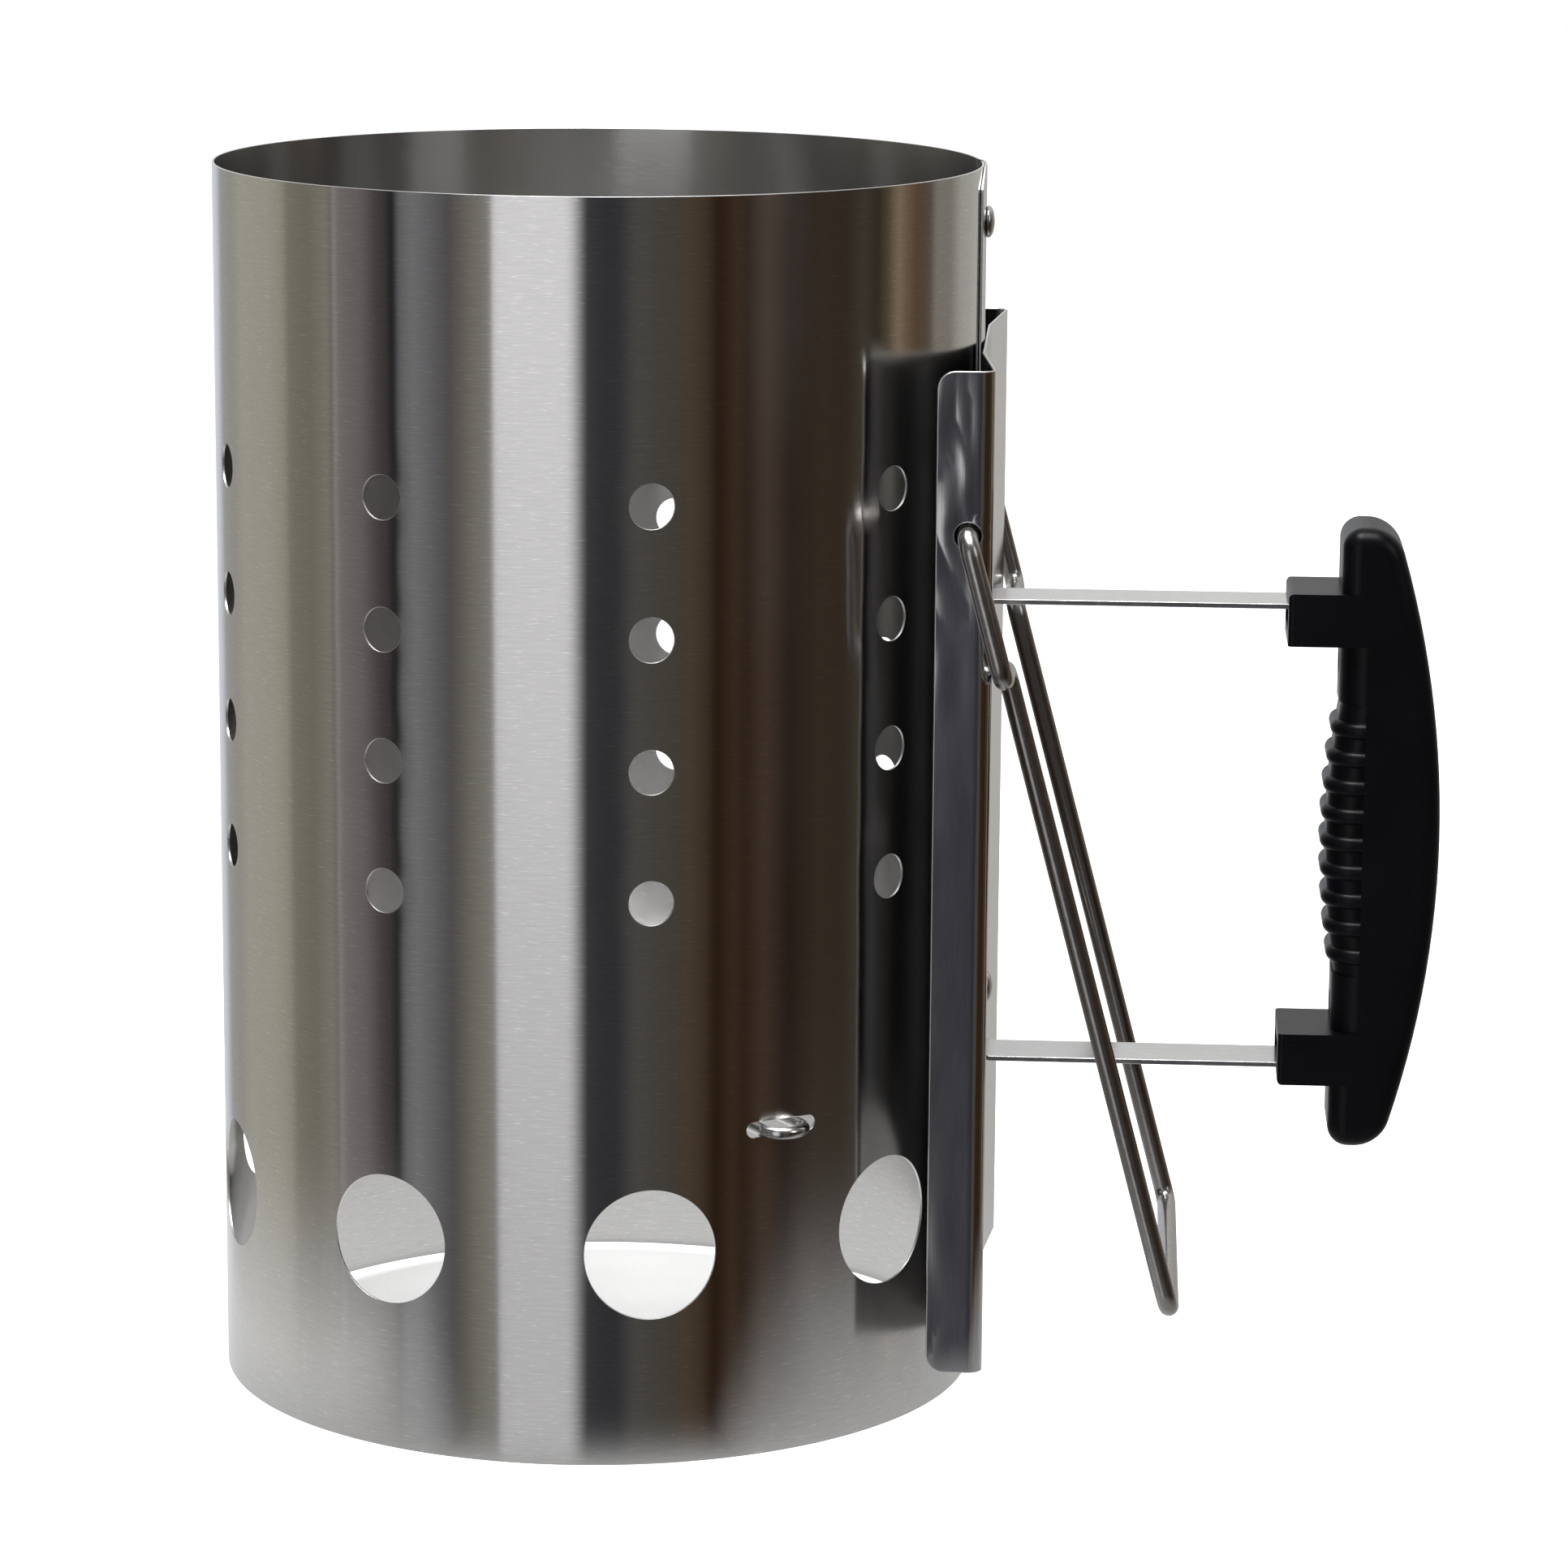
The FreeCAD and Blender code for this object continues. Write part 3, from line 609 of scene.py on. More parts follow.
def brushed_steel(name, tone, roughness, stroke, anisotropy=0.9, rotation=0.25):
    """Sheet steel with fine brushed strokes, drawn out along the blank's u or v.

    stroke is their (size along u, size along v, depth), in millimetres."""
    shader_inputs = {"Metallic": 1.0, "Anisotropic": anisotropy, "Anisotropic Rotation": rotation}
    material, nodes, shader = new_material(name, shader_inputs)
    blank = nodes.add("ShaderNodeUVMap", uv_map="blank").outputs["UV"]
    size_u, size_v, depth = stroke

    def marks(finer_u, finer_v, detail, noise_roughness=0.5):
        """Noise drawn out as the strokes are, and so many times finer along u and v."""
        scale = (finer_u / (size_u * MM), finer_v / (size_v * MM), 1)
        return nodes.noise(nodes.stretched(blank, scale), 1.0, detail, noise_roughness)

    strokes = marks(1, 1, 4.0, 0.6)
    hairs = marks(3, 4, 2.0)
    clouds = nodes.noise(blank, 28.0, 2.0)
    dark = [0.94 * c for c in tone]
    light = [min(1.0, 1.05 * c) for c in tone]
    colour = nodes.ramp(strokes, [(0.3, dark), (0.7, light)])
    dashes = marks(2.2, 1.1, 1.0)
    bright = [min(1.0, 1.28 * c) for c in tone]
    colour = nodes.mix(nodes.between(dashes, 0.62, 0.75, 0.0, 0.8), colour, (*bright, 1))
    nodes.join(colour, shader, "Base Color")
    worn = nodes.math("ADD", nodes.math("MULTIPLY", hairs, 0.6), nodes.math("MULTIPLY", clouds, 0.4))
    nodes.join(nodes.level(worn, 0.75 * roughness, 1.25 * roughness), shader, "Roughness")
    nodes.join(nodes.bump(strokes, 1.0, depth), shader, "Normal")
    tangent = nodes.add("ShaderNodeTangent", direction_type="UV_MAP", uv_map="blank")
    nodes.join(tangent.outputs[0], shader, "Tangent")
    return material


def cut_edge_steel(name):
    """The sheared or punched edge of a sheet: brighter and rougher than its faces."""
    material, nodes, shader = new_material(name, {"Metallic": 1.0})
    blank = nodes.add("ShaderNodeUVMap", uv_map="blank").outputs["UV"]
    grain = nodes.noise(blank, 2600.0, 3.0, 0.65)
    colour = nodes.ramp(grain, [(0.3, (0.66, 0.65, 0.64)), (0.7, (0.8, 0.8, 0.79))])
    nodes.join(colour, shader, "Base Color")
    nodes.join(nodes.level(grain, 0.25, 0.45), shader, "Roughness")
    nodes.join(nodes.bump(grain, 0.4, 0.02), shader, "Normal")
    return material


def drawn_wire_steel(name, tone, roughness):
    """Bright drawn wire with fine die lines along its length."""
    material, nodes, shader = new_material(name, {"Metallic": 1.0})
    blank = nodes.add("ShaderNodeUVMap", uv_map="blank").outputs["UV"]
    lines = nodes.noise(nodes.stretched(blank, (60.0, 5200.0, 1)), 1.0, 3.0, 0.6)
    spots = nodes.noise(blank, 420.0, 3.0, 0.6)
    dark = [0.82 * c for c in tone]
    colour = nodes.ramp(spots, [(0.3, dark), (0.65, tone)])
    nodes.join(colour, shader, "Base Color")
    nodes.join(nodes.level(lines, 0.7 * roughness, 1.3 * roughness), shader, "Roughness")
    nodes.join(nodes.bump(lines, 0.6, 0.01), shader, "Normal")
    return material


def moulded_plastic(name, tone, roughness):
    """Black heat-resistant plastic with a fine spark-eroded grain."""
    material, nodes, shader = new_material(name, {"IOR": 1.46, "Specular IOR Level": 0.18})
    place = nodes.add("ShaderNodeTexCoord").outputs["Object"]
    grain = nodes.noise(place, 2600.0, 2.0, 0.6)
    flow = nodes.noise(place, 55.0, 3.0, 0.5)
    colour = nodes.ramp(flow, [(0.3, [0.85 * c for c in tone]), (0.7, [1.2 * c for c in tone])])
    nodes.join(colour, shader, "Base Color")
    mixed = nodes.math("ADD", nodes.math("MULTIPLY", grain, 0.5), nodes.math("MULTIPLY", flow, 0.5))
    nodes.join(nodes.level(mixed, 0.8 * roughness, 1.2 * roughness), shader, "Roughness")
    nodes.join(nodes.bump(grain, 0.35, 0.04), shader, "Normal")
    return material


# ---------------------------------------------------------------- pieces

def tube_relief(u, v, holes):
    """How far the rolled sheet strays outwards: long faint waves, and a dish about each vent."""
    length_u, length_v = TUBE_WAVE_LENGTHS
    seed = 3.7
    wave = TUBE_WAVE * noise.noise(Vector((u / length_u, v / length_v, seed)))
    dish = 0.0
    for hole in holes:
        if max(abs(u - hole.centre.x), abs(v - hole.centre.y)) < TUBE_DISH_LIMIT:
            away = max(0.0, hole.distance(Vector((u, v))))
            dish += math.exp(-((away / TUBE_DISH_REACH) ** 2))
    return wave - TUBE_INSET - TUBE_DISH * dish


def tube_columns():
    """Where the mesh's upright lines lie round the blank: closer together in the joggle."""
    def arc(degrees):
        return math.radians(degrees) * TUBE_RADIUS
    start = arc(-LAP_HALF_ANGLE)
    before = spread(start, arc(JOGGLE_START), TUBE_COLUMN_SPACING)
    joggle = spread(arc(JOGGLE_START), arc(JOGGLE_END), JOGGLE_COLUMN_SPACING)
    after = spread(arc(JOGGLE_END), arc(360 + LAP_HALF_ANGLE), TUBE_COLUMN_SPACING)
    return before[:-1] + joggle + after[1:]


def tube_holes():
    """Every hole punched in the tube's blank: (vents, all the others)."""
    vents, others = [], []
    for step in range(1, COLUMNS_EACH_SIDE + 1):
        for side in (-1, 1):
            turn = (PATTERN_TURN + side * step * COLUMN_ANGLE) % 360
            u = math.radians(turn) * TUBE_RADIUS
            for row in range(VENT_ROWS):
                z = VENT_TOP_Z - row * VENT_PITCH
                vents.append(Hole(u, z, VENT_RADIUS, VENT_MESH))
            others.append(Hole(u, DRAFT_HOLE_Z, DRAFT_HOLE_RADIUS, DRAFT_MESH))
    for angle in SLOT_ANGLES:
        u = math.radians((PATTERN_TURN + angle) % 360) * TUBE_RADIUS
        half_flat = (SLOT_WIDTH - SLOT_HEIGHT) / 2
        others.append(Hole(u, SLOT_Z, SLOT_HEIGHT / 2, SLOT_MESH, half_flat))
    full_turn = 2 * math.pi * TUBE_RADIUS
    for z in SEAM_RIVET_HEIGHTS + SHIELD_RIVET_HEIGHTS + STRAP_RIVET_HEIGHTS:
        for u in (0.0, full_turn):
            others.append(Hole(u, z, RIVET_HOLE_RADIUS, RIVET_MESH))
    return vents, others


def build_tube(face_steel, edge_steel, inner_steel):
    edge = TUBE_CUT_ROUNDING
    vents, others = tube_holes()
    start = math.radians(-LAP_HALF_ANGLE) * TUBE_RADIUS + edge
    end = math.radians(360 + LAP_HALF_ANGLE) * TUBE_RADIUS - edge
    low = edge
    high = TUBE_HEIGHT - edge
    outline = [Vector((start + LAP_CORNER_WIDTH, low)), Vector((end, low)), Vector((end, high)),
               Vector((start + LAP_CORNER_WIDTH, high)), Vector((start, high - LAP_CORNER_HEIGHT)),
               Vector((start, low + LAP_CORNER_HEIGHT))]
    columns = tube_columns()
    rows = spread(0.0, TUBE_HEIGHT, TUBE_ROW_SPACING)

    def surface(u, v):
        angle = u / TUBE_RADIUS
        share = share_between(math.degrees(angle), JOGGLE_START, JOGGLE_END)
        lift = LAP_LIFT * (1 - share * share * (3 - 2 * share))
        radius = TUBE_RADIUS - TUBE_SHEET / 2 + lift
        if share == 1.0 and angle < 2 * math.pi - math.radians(JOGGLE_END):
            radius += tube_relief(u, v, vents)
        return Vector((radius * math.cos(angle), radius * math.sin(angle), v))

    grid_outline = along_grid(outline, columns, rows)
    piece = sheet_piece("tube_sheet", surface, TUBE_SHEET, edge, grid_outline, vents + others,
                        columns, rows)
    finish_piece(piece, "root", "tube", (face_steel, edge_steel, inner_steel))


def flange_relief(depth, z, side):
    """How far a flange strays outwards: flare, slow waves, a crease and a dish about the pivot hole."""
    free = max(0.0, 1 - depth / FLANGE_DEPTH)
    lively = share_between(z, *FLANGE_LIVELY_Z)
    length_depth, length_z = FLANGE_WAVE_LENGTHS
    wave_seed = 9.1 * side
    wave = noise.noise(Vector((depth / length_depth, z / length_z, wave_seed)))
    wave *= FLANGE_WAVE + FLANGE_WAVE_RISE * lively
    flare = FLANGE_FLARE * (1 - FLANGE_FLARE_LOST * lively - share_between(z, *FLANGE_FOOT_Z))
    along = share_between(z, *CREASE_Z)
    bottom_depth, top_depth = CREASE_DEPTH
    crease_seed = 4.4
    wander = CREASE_WANDER * noise.noise(Vector((z / CREASE_WANDER_LENGTH, crease_seed, side)))
    crease_depth = bottom_depth + (top_depth - bottom_depth) * along + wander
    fold = math.exp(-(((depth - crease_depth) / CREASE_WIDTH) ** 2)) * math.sin(math.pi * along)
    away = (Vector((depth, z)) - Vector((PIVOT.x - SHIELD_FACE_X + FLANGE_DEPTH, PIVOT.z))).length
    dish = math.exp(-((max(0.0, away - PIVOT_HOLE_RADIUS) / PIVOT_DISH_REACH) ** 2))
    off_fold = min(1.0, 3 * free)
    return (flare + wave) * free + CREASE_HEIGHT * fold - PIVOT_DISH * dish * off_fold


def build_shield(face_steel, edge_steel, inner_steel):
    edge = SHIELD_CUT_ROUNDING
    half = SHIELD_SHEET / 2
    face = SHIELD_FACE_X - half
    dip = SHIELD_DIP_X - half
    side = SHIELD_HALF_WIDTH - half
    free_x = SHIELD_FACE_X - FLANGE_DEPTH
    bends = [(free_x, -side), (face, -side), (dip, -SHIELD_DIP_HALF_WIDTH)]
    bends += [(x, -y) for x, y in reversed(bends)]
    stations = rounded_path([Vector((x, y, 0)) for x, y in bends], FOLD_RADIUS, FOLD_STEPS)
    bent, lengths = bent_strip(stations, Vector((0, 0, 1)))
    width = lengths[-1]
    columns = strip_columns(lengths, SHIELD_COLUMN_SPACING, FLANGE_COLUMN_SPACING)
    rows = spread(SHIELD_BOTTOM_Z, SHIELD_TOP_Z, SHIELD_ROW_SPACING)
    outline = rounded_outline(edge, width - edge, SHIELD_BOTTOM_Z + edge, SHIELD_TOP_Z - edge,
                              FLANGE_CORNER)
    pivot_u = PIVOT.x - free_x
    holes = [Hole(u, PIVOT.z, PIVOT_HOLE_RADIUS, PIVOT_MESH) for u in (pivot_u, width - pivot_u)]
    for z in SHIELD_RIVET_HEIGHTS + STRAP_RIVET_HEIGHTS:
        holes.append(Hole(width / 2, z, RIVET_HOLE_RADIUS, RIVET_MESH))

    def surface(u, v):
        place = bent(u, v)
        relief = flange_relief(min(u, width - u), v, 1 if place.y < 0 else 2)
        return place + Vector((0, math.copysign(relief, place.y), 0))

    piece = sheet_piece("shield_sheet", surface, SHIELD_SHEET, edge,
                        along_grid(outline, columns, rows), holes, columns, rows)
    materials = (face_steel, edge_steel, inner_steel)
    finish_piece(piece, "root", "heat_shield", materials)


def build_strap(steel):
    edge = STRAP_CUT_ROUNDING
    half = STRAP_THICKNESS / 2
    back_x = SHIELD_DIP_X + half
    arm_z = STRAP_HALF_SPAN - half
    tab_z = STRAP_HALF_SPAN - STRAP_TAB_LENGTH
    bends = [(STRAP_TAB_X, tab_z), (STRAP_TAB_X, arm_z), (back_x, arm_z)]
    bends += [(x, -z) for x, z in reversed(bends)]
    points = [Vector((x, 0, HANDLE_Z + z)) for x, z in bends]
    stations = rounded_path(points, STRAP_BEND, STRAP_BEND_STEPS)
    surface, lengths = bent_strip(stations, Vector((0, 1, 0)))
    width = lengths[-1]
    columns = strip_columns(lengths, STRAP_COLUMN_SPACING, STRAP_COLUMN_SPACING)
    half_width = STRAP_WIDTH / 2
    rows = spread(-half_width, half_width, STRAP_ROW_SPACING)
    outline = rounded_outline(edge, width - edge, -half_width + edge, half_width - edge, STRAP_CORNER)
    hole_u = SCREW_Z - tab_z
    holes = [Hole(u, 0.0, TAB_HOLE_RADIUS, TAB_MESH) for u in (hole_u, width - hole_u)]
    for z in STRAP_RIVET_HEIGHTS:
        holes.append(Hole(width / 2 + HANDLE_Z - z, 0.0, RIVET_HOLE_RADIUS, RIVET_MESH))
    piece = sheet_piece("strap_bar", surface, STRAP_THICKNESS, edge,
                        along_grid(outline, columns, rows), holes, columns, rows)
    finish_piece(piece, "root", "handle_strap", (steel, steel, steel))


def build_bail(steel):
    """Stubs in the flanges, legs outside them, jogs, and a narrower loop below."""
    angle = math.radians(BAIL_REST_ANGLE)
    along = Vector((math.sin(angle), 0, -math.cos(angle)))
    half = [(0.0, BAIL_STUB_Y), (0.0, BAIL_UPPER_Y), (BAIL_JOG, BAIL_UPPER_Y),
            (BAIL_JOG, BAIL_LOWER_Y), (BAIL_LENGTH, BAIL_LOWER_Y)]
    points = [PIVOT + along * s + Vector((0, -y, 0)) for s, y in half]
    points += [PIVOT + along * s + Vector((0, y, 0)) for s, y in reversed(half)]
    stations = rounded_path(points, BAIL_BEND, BAIL_BEND_STEPS)
    piece = wire_piece("bail_wire", stations, BAIL_WIRE / 2)
    finish_piece(piece, "bail", "bail", (steel,))


def build_hairpin(number, angle, reach, steel):
    """Two parallel legs joined by a round loop at the outer end."""
    r = HAIRPIN_LOOP_RADIUS
    turn = Matrix.Rotation(math.radians(PATTERN_TURN + angle), 3, "Z")
    stations = [(Vector((HAIRPIN_INNER_END, -r, HAIRPIN_Z)), Vector((1, 0, 0)))]
    for step in range(HAIRPIN_LOOP_STEPS + 1):
        swing = math.pi * (step / HAIRPIN_LOOP_STEPS - 0.5)
        place = Vector((reach - r + r * math.cos(swing), r * math.sin(swing), HAIRPIN_Z))
        stations.append((place, Vector((-math.sin(swing), math.cos(swing), 0))))
    stations.append((Vector((HAIRPIN_INNER_END, r, HAIRPIN_Z)), Vector((-1, 0, 0))))
    stations = [(turn @ place, turn @ direction) for place, direction in stations]
    piece = wire_piece("hairpin_wire_%d" % number, stations, GRATE_WIRE / 2)
    finish_piece(piece, "root", "grate_hairpin_%d" % number, (steel,))


def build_ring(name, radius, steel):
    stations = []
    for step in range(GRATE_RING_STEPS):
        angle = 2 * math.pi * step / GRATE_RING_STEPS
        place = Vector((radius * math.cos(angle), radius * math.sin(angle), GRATE_RING_Z))
        stations.append((place, Vector((-math.sin(angle), math.cos(angle), 0))))
    piece = wire_piece("ring_wire_%s" % name, stations, GRATE_WIRE / 2, closed=True)
    finish_piece(piece, "root", "grate_ring_%s" % name, (steel,))


def build_grate(steel):
    hairpins = [(angle, LONG_HAIRPIN_REACH) for angle in SLOT_ANGLES]
    hairpins += [(angle, SHORT_HAIRPIN_REACH) for angle in SHORT_HAIRPIN_ANGLES]
    for number, (angle, reach) in enumerate(hairpins, start=1):
        build_hairpin(number, angle, reach, steel)
    for name, radius in GRATE_RINGS.items():
        build_ring(name, radius, steel)


def build_rivet(name, steel):
    """A blind rivet: a domed head with the mandrel's dimple, a shank and a crushed tail."""
    low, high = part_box(name)
    low, high = low / MM, high / MM
    centre = Vector((0, 0.5 * (low.y + high.y), 0.5 * (low.z + high.z)))
    head = 0.5 * (high.z - low.z)
    brim = high.x - RIVET_DOME
    seat = brim - RIVET_BRIM
    profile = [(low.x + along, radius) for along, radius in RIVET_TAIL]
    profile += [(seat, RIVET_SHANK_RADIUS), (seat, head - RIVET_HEAD_ROUNDING),
                (seat + RIVET_HEAD_ROUNDING, head)]
    for step in range(1, RIVET_DOME_STEPS):
        angle = math.radians(90 * step / RIVET_DOME_STEPS)
        radius = head * math.cos(angle) ** RIVET_DOME_FULLNESS
        profile.append((brim + RIVET_DOME * math.sin(angle), radius))
    profile += [(high.x - depth, radius) for depth, radius in RIVET_DIMPLE]
    piece = turned_piece("%s_turned" % name, profile, centre)
    finish_piece(piece, "root", name, (steel,))


def dress_cad_nodes(plastic, screw_steel):
    """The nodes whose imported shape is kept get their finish."""
    for name in ("grip_back", "grip_insert"):
        frame["nodes"][name].material_slots[0].material = plastic
    for name in ("grip_screw_upper", "grip_screw_lower"):
        frame["nodes"][name].material_slots[0].material = screw_steel


# ---------------------------------------------------------------- studio

# The studio round the object, as (bearing in degrees from +X, colour), from the backdrop behind
# it counterclockwise. Brushed steel mirrors these as upright bands.
STUDIO_LEFT = [
    (90, (0.70, 0.70, 0.70)), (98, (0.75, 0.77, 0.82)), (117, (0.66, 0.68, 0.74)),
    (123, (0.40, 0.40, 0.39)), (134, (0.38, 0.37, 0.33)), (143, (0.47, 0.45, 0.39)),
    (160, (0.46, 0.44, 0.37)), (168, (0.40, 0.38, 0.31)), (171, (0.25, 0.24, 0.19)),
    (181, (0.22, 0.21, 0.17)), (189, (0.30, 0.28, 0.24)), (189.8, (0.10, 0.09, 0.08)),
    (190.4, (0.10, 0.09, 0.08)), (190.8, (0.5, 0.48, 0.46)), (191.6, (0.5, 0.48, 0.46)),
    (192, (0.24, 0.22, 0.21)), (201, (0.19, 0.17, 0.17)), (207, (0.08, 0.07, 0.07)),
    (210.6, (0.055, 0.05, 0.05)), (212, (0.0, 0.0, 0.0)), (213.4, (0.0, 0.0, 0.0)),
    (214.2, (0.17, 0.17, 0.18)), (219, (0.24, 0.24, 0.25)), (225, (0.17, 0.17, 0.18)),
    (231, (0.11, 0.10, 0.10)), (238, (0.23, 0.22, 0.19)), (243, (0.27, 0.27, 0.24)),
    (247, (0.12, 0.12, 0.13)), (270, (0.05, 0.05, 0.062)),
]
STUDIO_RIGHT = [
    (270, (0.05, 0.05, 0.062)), (275, (0.036, 0.036, 0.042)), (281, (0.035, 0.035, 0.04)),
    (286, (0.09, 0.085, 0.08)), (298, (0.075, 0.066, 0.052)), (302, (0.092, 0.062, 0.04)),
    (307, (0.065, 0.042, 0.026)), (310.5, (0.02, 0.006, 0.0)), (316, (0.055, 0.03, 0.016)),
    (320, (0.028, 0.012, 0.003)), (326, (0.062, 0.036, 0.022)), (334, (0.018, 0.006, 0.002)),
    (344, (0.048, 0.033, 0.022)), (354, (0.046, 0.033, 0.022)), (360, (0.068, 0.055, 0.04)),
    (366, (0.036, 0.03, 0.02)), (370.5, (0.11, 0.085, 0.05)), (375, (0.29, 0.215, 0.15)),
    (379, (0.19, 0.13, 0.085)), (384, (0.125, 0.075, 0.045)), (391, (0.12, 0.095, 0.07)),
    (395, (0.27, 0.25, 0.215)), (404, (0.26, 0.24, 0.21)), (412, (0.44, 0.42, 0.39)),
    (428, (0.48, 0.47, 0.44)), (440, (0.50, 0.49, 0.47)), (444, (0.42, 0.41, 0.40)),
    (446.5, (0.42, 0.41, 0.40)), (448, (0.68, 0.68, 0.68)), (450, (0.70, 0.70, 0.70)),
]

CEILING = (0.16, 0.155, 0.15, 1)
CEILING_BEHIND = (0.80, 0.80, 0.80, 1)
# Where the walls turn into the ceiling, and its front part into the part behind, as the upward and
# the rearward share of a direction
CEILING_RISE = (0.06, 0.5)
CEILING_TURN = (0.1, 0.6)

# The window card in front
WINDOW_LEFT_LOW = -378.0
WINDOW_LEFT_HIGH = -425.0
WINDOW_RIGHT = 44.0
WINDOW_FADE = 105.0
WINDOW_DISTANCE = 900.0
WINDOW_BOTTOM = -600.0
WINDOW_TOP = 600.0
WINDOW_COLOUR = (0.86, 0.85, 0.87, 1)
WINDOW_BRIGHTNESS_Z = (-210.0, 210.0)
WINDOW_BRIGHTNESS = (0.8, 1.2)

# The paper floor that the camera sees, dim under the tube as painted shade and lit by itself from
# some way out of its axis, and the size of the patch close by that only the steel mirrors
FLOOR_SIZE = 9000.0
NEAR_FLOOR_SIZE = 620.0
PAPER_DARK = (0.80, 0.80, 0.80)
PAPER_LIGHT = (0.82, 0.82, 0.82)
PAPER_OPEN_FROM = (85.0, 95.0)
PAPER_GLOW_IN_PAINTED_SHADE = 0.1

# The patch's glow: where it starts and ends, in front and at the sides, how it fades there, and how
# strong it is under the tube, and outside it in front and to the right, and far to the left
GLOW_START = 92.0
GLOW_REACH = (128.0, 290.0)
GLOW_FADE_POWER = (2.0, 1.1)
GLOW_SIDE = (0.38, 0.78)
GLOW_LEAN = 0.06
GLOW_UNDER_TUBE = 0.85
GLOW_TUBE_EDGE = (88.0, 93.0)
GLOW_LEFT_X = (-45.0, -120.0)
GLOW_STRENGTH = (0.55, 0.85)

# The lamps: place, size and power in watts. They all point at one target
LAMP_TARGET = Vector((50.0, 0.0, 150.0))
LAMPS = {
    "overhead_softbox": (Vector((100.0, -350.0, 1500.0)), (1100.0, 800.0), 16.0),
    "side_softbox": (Vector((1500.0, -900.0, 1000.0)), (600.0, 900.0), 3.0),
    "crown_softbox": (Vector((-120.0, -230.0, 1440.0)), (500.0, 500.0), 8.0),
}


def build_world():
    world = bpy.data.worlds.new("studio")
    bpy.context.scene.world = world
    world.use_nodes = True
    nodes = Nodes(world.node_tree)
    direction = nodes.add("ShaderNodeTexCoord").outputs["Generated"]
    axes = nodes.add("ShaderNodeSeparateXYZ", {0: direction}).outputs
    bearing = nodes.math("ARCTAN2", nodes.math("MULTIPLY", axes["X"], -1.0), axes["Y"])
    turn = nodes.math("FRACT", nodes.math("ADD", nodes.math("DIVIDE", bearing, 2 * math.pi), 1.0))
    half = nodes.math("MULTIPLY", turn, 2.0)
    left = nodes.ramp(half, [((b - 90) / 180, c) for b, c in STUDIO_LEFT])
    right = nodes.ramp(nodes.math("SUBTRACT", half, 1.0), [((b - 270) / 180, c) for b, c in STUDIO_RIGHT])
    on_right = nodes.math("GREATER_THAN", turn, 0.5)
    wall = nodes.mix(on_right, left, right)
    rise = nodes.between(axes["Z"], *CEILING_RISE, interpolation_type="SMOOTHSTEP")
    behind = nodes.between(axes["Y"], *CEILING_TURN, interpolation_type="SMOOTHSTEP")
    room = nodes.mix(rise, wall, nodes.mix(behind, CEILING, CEILING_BEHIND))
    lit = nodes.add("ShaderNodeBackground", {"Color": room, "Strength": 1.0})
    white = nodes.add("ShaderNodeBackground", {"Color": (1, 1, 1, 1), "Strength": 1.0})
    seen = nodes.add("ShaderNodeLightPath").outputs["Is Camera Ray"]
    mixed = nodes.add("ShaderNodeMixShader", {0: seen, 1: lit.outputs[0], 2: white.outputs[0]})
    nodes.add("ShaderNodeOutputWorld", {"Surface": mixed.outputs[0]})


def studio_card(name, corners, material):
    """A flat four-cornered piece of the studio."""
    mesh = bpy.data.meshes.new(name)
    mesh.from_pydata([Vector(corner) * MM for corner in corners], [], [(0, 1, 2, 3)])
    mesh.materials.append(material)
    card = bpy.data.objects.new(name, mesh)
    bpy.context.scene.collection.objects.link(card)
    return card


def floor_card(name, size, material):
    half = size / 2
    corners = [(-half, -half, 0), (half, -half, 0), (half, half, 0), (-half, half, 0)]
    return studio_card(name, corners, material)


def pale_floor_material():
    """White paper: mostly lit by itself, so that it meets the white background without an edge.

    Under the tube its glow is turned down: painted shade there.
    """
    material, nodes = empty_material("paper")
    place = nodes.add("ShaderNodeTexCoord").outputs["Object"]
    fibre = nodes.noise(place, 900.0, 3.0)
    colour = nodes.ramp(fibre, [(0.3, PAPER_DARK), (0.7, PAPER_LIGHT)])
    paper = nodes.add("ShaderNodeBsdfDiffuse", {"Color": colour})
    distance = nodes.add("ShaderNodeVectorMath", {0: place}, operation="LENGTH").outputs["Value"]
    # Under the tube the glow drops to a tenth of its strength outside: painted shade
    first, last = PAPER_OPEN_FROM
    glow_with_painted_shade = nodes.between(distance, first * MM, last * MM, PAPER_GLOW_IN_PAINTED_SHADE, 1.0)
    glow = nodes.add("ShaderNodeEmission", {"Color": (1, 1, 1, 1), "Strength": glow_with_painted_shade})
    both = nodes.add("ShaderNodeAddShader", {0: paper.outputs[0], 1: glow.outputs[0]})
    nodes.add("ShaderNodeOutputMaterial", {"Surface": both.outputs[0]})
    return material


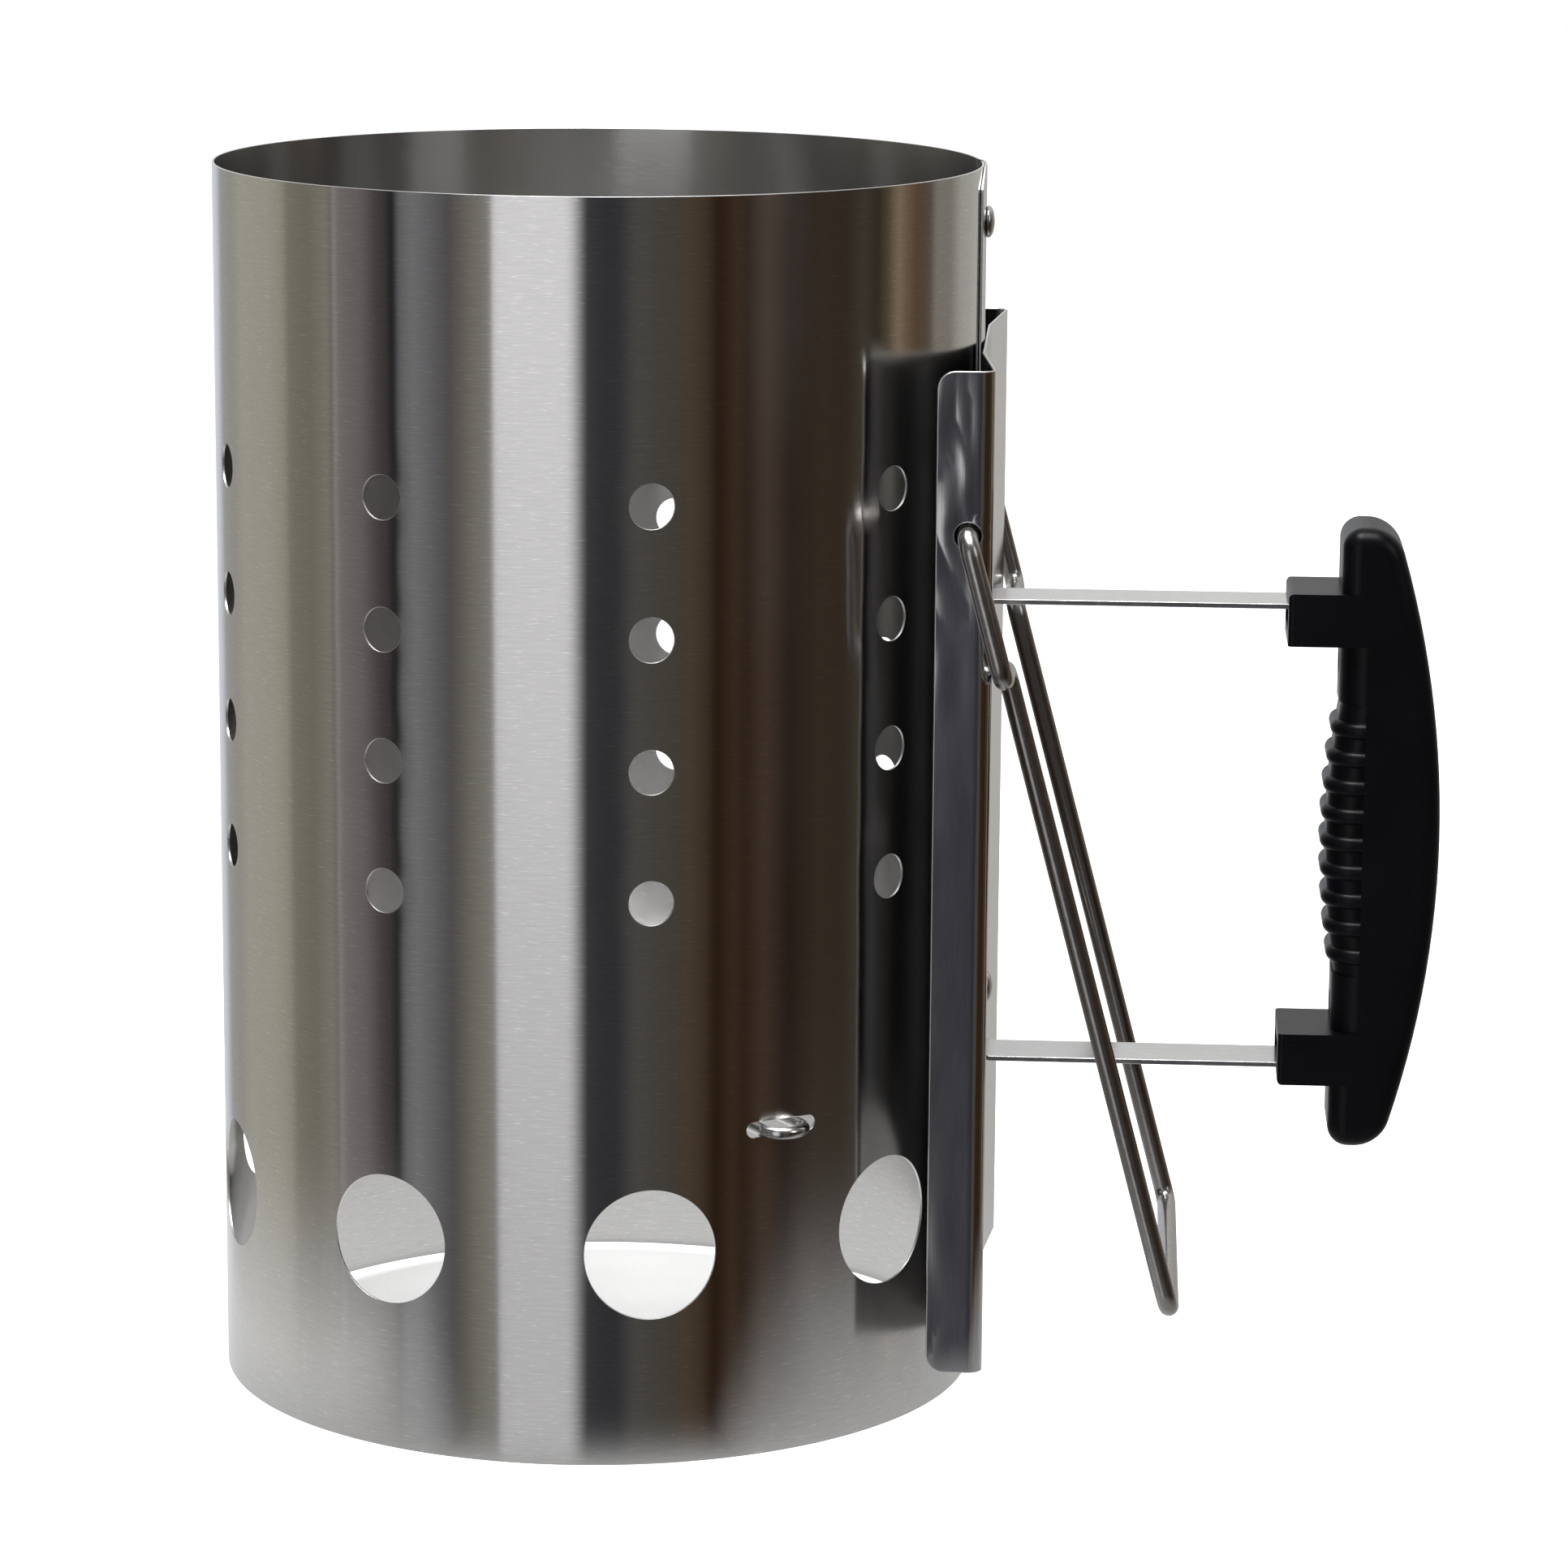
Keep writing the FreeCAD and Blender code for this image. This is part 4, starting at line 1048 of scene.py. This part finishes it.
def near_floor_material():
    """What the steel mirrors of the floor: white close by, fading out further away.

    The white reaches further out to the left and right of the tube than in front of it."""
    material, nodes = empty_material("near_paper")
    place = nodes.add("ShaderNodeTexCoord").outputs["Object"]
    distance = nodes.add("ShaderNodeVectorMath", {0: place}, operation="LENGTH").outputs["Value"]
    across = nodes.add("ShaderNodeSeparateXYZ", {0: place}).outputs["X"]
    lean = nodes.math("SUBTRACT", nodes.math("DIVIDE", across, distance), GLOW_LEAN)
    side = nodes.between(nodes.math("ABSOLUTE", lean), *GLOW_SIDE)
    front_reach, side_reach = GLOW_REACH
    reach = nodes.level(side, front_reach * MM, side_reach * MM)
    share = nodes.between(distance, GLOW_START * MM, reach, 1.0, 0.0)
    fade = nodes.math("POWER", share, nodes.level(side, *GLOW_FADE_POWER))
    first, last = GLOW_LEFT_X
    outside = nodes.between(across, first * MM, last * MM, *GLOW_STRENGTH)
    first, last = GLOW_TUBE_EDGE
    strength = nodes.between(distance, first * MM, last * MM, GLOW_UNDER_TUBE, outside)
    glow = nodes.add("ShaderNodeEmission", {"Color": (1, 1, 1, 1), "Strength": strength})
    clear = nodes.add("ShaderNodeBsdfTransparent")
    mixed = nodes.add("ShaderNodeMixShader", {0: fade, 1: clear.outputs[0], 2: glow.outputs[0]})
    nodes.add("ShaderNodeOutputMaterial", {"Surface": mixed.outputs[0]})
    return material


def build_floor():
    floor = floor_card("floor", FLOOR_SIZE, pale_floor_material())
    floor.visible_glossy = False
    floor.visible_shadow = False
    near = floor_card("near_floor", NEAR_FLOOR_SIZE, near_floor_material())
    near.visible_camera = False
    near.visible_diffuse = False
    near.visible_shadow = False


def window_material():
    """Brighter towards its top, and fading out at its right end."""
    material, nodes = empty_material("window")
    place = nodes.add("ShaderNodeTexCoord").outputs["Object"]
    axes = nodes.add("ShaderNodeSeparateXYZ", {0: place}).outputs
    side = nodes.between(axes["X"], (WINDOW_RIGHT - WINDOW_FADE) * MM, WINDOW_RIGHT * MM, 1.0, 0.0,
                         interpolation_type="SMOOTHSTEP")
    low, high = WINDOW_BRIGHTNESS_Z
    height = nodes.between(axes["Z"], low * MM, high * MM, *WINDOW_BRIGHTNESS)
    strength = nodes.math("MULTIPLY", side, height)
    glow = nodes.add("ShaderNodeEmission", {"Color": WINDOW_COLOUR, "Strength": strength})
    nodes.add("ShaderNodeOutputMaterial", {"Surface": glow.outputs[0]})
    return material


def build_window():
    """A tall bright card in front and to the left, which the steel mirrors as its brightest band."""
    y = -WINDOW_DISTANCE
    corners = [(WINDOW_LEFT_HIGH, y, WINDOW_TOP), (WINDOW_RIGHT, y, WINDOW_TOP),
               (WINDOW_RIGHT, y, WINDOW_BOTTOM), (WINDOW_LEFT_LOW, y, WINDOW_BOTTOM)]
    window = studio_card("window", corners, window_material())
    window.visible_camera = False


def build_lamps():
    for name, (place, (width, depth), power) in LAMPS.items():
        light = bpy.data.lights.new(name, "AREA")
        light.shape = "RECTANGLE"
        light.size = width * MM
        light.size_y = depth * MM
        light.energy = power
        lamp = bpy.data.objects.new(name, light)
        lamp.location = place * MM
        lamp.rotation_euler = (LAMP_TARGET - place).to_track_quat("-Z", "Y").to_euler()
        bpy.context.scene.collection.objects.link(lamp)


def build_camera():
    lens = bpy.data.cameras.new("camera")
    lens.lens = CAMERA_LENS
    lens.sensor_width = 36.0
    lens.clip_end = 50.0
    camera = bpy.data.objects.new("camera", lens)
    heading = Matrix.Rotation(math.radians(-CAMERA_YAW), 4, "Z")
    tilt = Matrix.Rotation(math.radians(90 + CAMERA_PITCH), 4, "X")
    roll = Matrix.Rotation(math.radians(CAMERA_ROLL), 4, "Z")
    camera.matrix_world = Matrix.Translation(CAMERA_PLACE * MM) @ heading @ tilt @ roll
    bpy.context.scene.collection.objects.link(camera)
    bpy.context.scene.camera = camera


def build_object():
    edge_steel = cut_edge_steel("cut_edge")
    tube_tone = (0.62, 0.615, 0.605)
    tube_steel = brushed_steel("tube_brushed", tube_tone, 0.145, (8.0, 0.45, 0.0014))
    inside_steel = brushed_steel("tube_inside", tube_tone, 0.2, (7.0, 0.4, 0.0008))
    upright_strokes = (0.5, 9.0, 0.0004)
    shield_steel = brushed_steel("shield_brushed", (0.66, 0.66, 0.665), 0.11, upright_strokes,
                                 anisotropy=0.6, rotation=0.0)
    # The shield's back is the front's steel made much darker as painted shade where it faces the tube, and
    # a little rougher
    painted_shade_back_steel = brushed_steel("shield_inside_painted_shade", (0.38, 0.375, 0.375), 0.17, upright_strokes,
                               rotation=0.0)
    strap_steel = brushed_steel("strap_rolled", (0.64, 0.635, 0.63), 0.22, (10.0, 0.5, 0.0002))
    wire_steel = drawn_wire_steel("bail_drawn", (0.44, 0.425, 0.41), 0.25)
    grate_steel = drawn_wire_steel("grate_drawn", (0.66, 0.655, 0.65), 0.18)
    rivet_steel = drawn_wire_steel("rivet_bright", (0.58, 0.575, 0.57), 0.26)
    screw_steel = drawn_wire_steel("screw_bright", (0.56, 0.56, 0.56), 0.28)
    plastic = moulded_plastic("grip_plastic", (0.0018, 0.0018, 0.003), 0.33)
    build_tube(tube_steel, edge_steel, inside_steel)
    build_shield(shield_steel, edge_steel, painted_shade_back_steel)
    build_strap(strap_steel)
    build_bail(wire_steel)
    build_grate(grate_steel)
    for name in sorted(frame["nodes"]):
        if "rivet" in name:
            build_rivet(name, rivet_steel)
    dress_cad_nodes(plastic, screw_steel)


bpy.context.scene.view_settings.view_transform = "Standard"
build_object()
build_world()
build_floor()
build_window()
build_lamps()
build_camera()
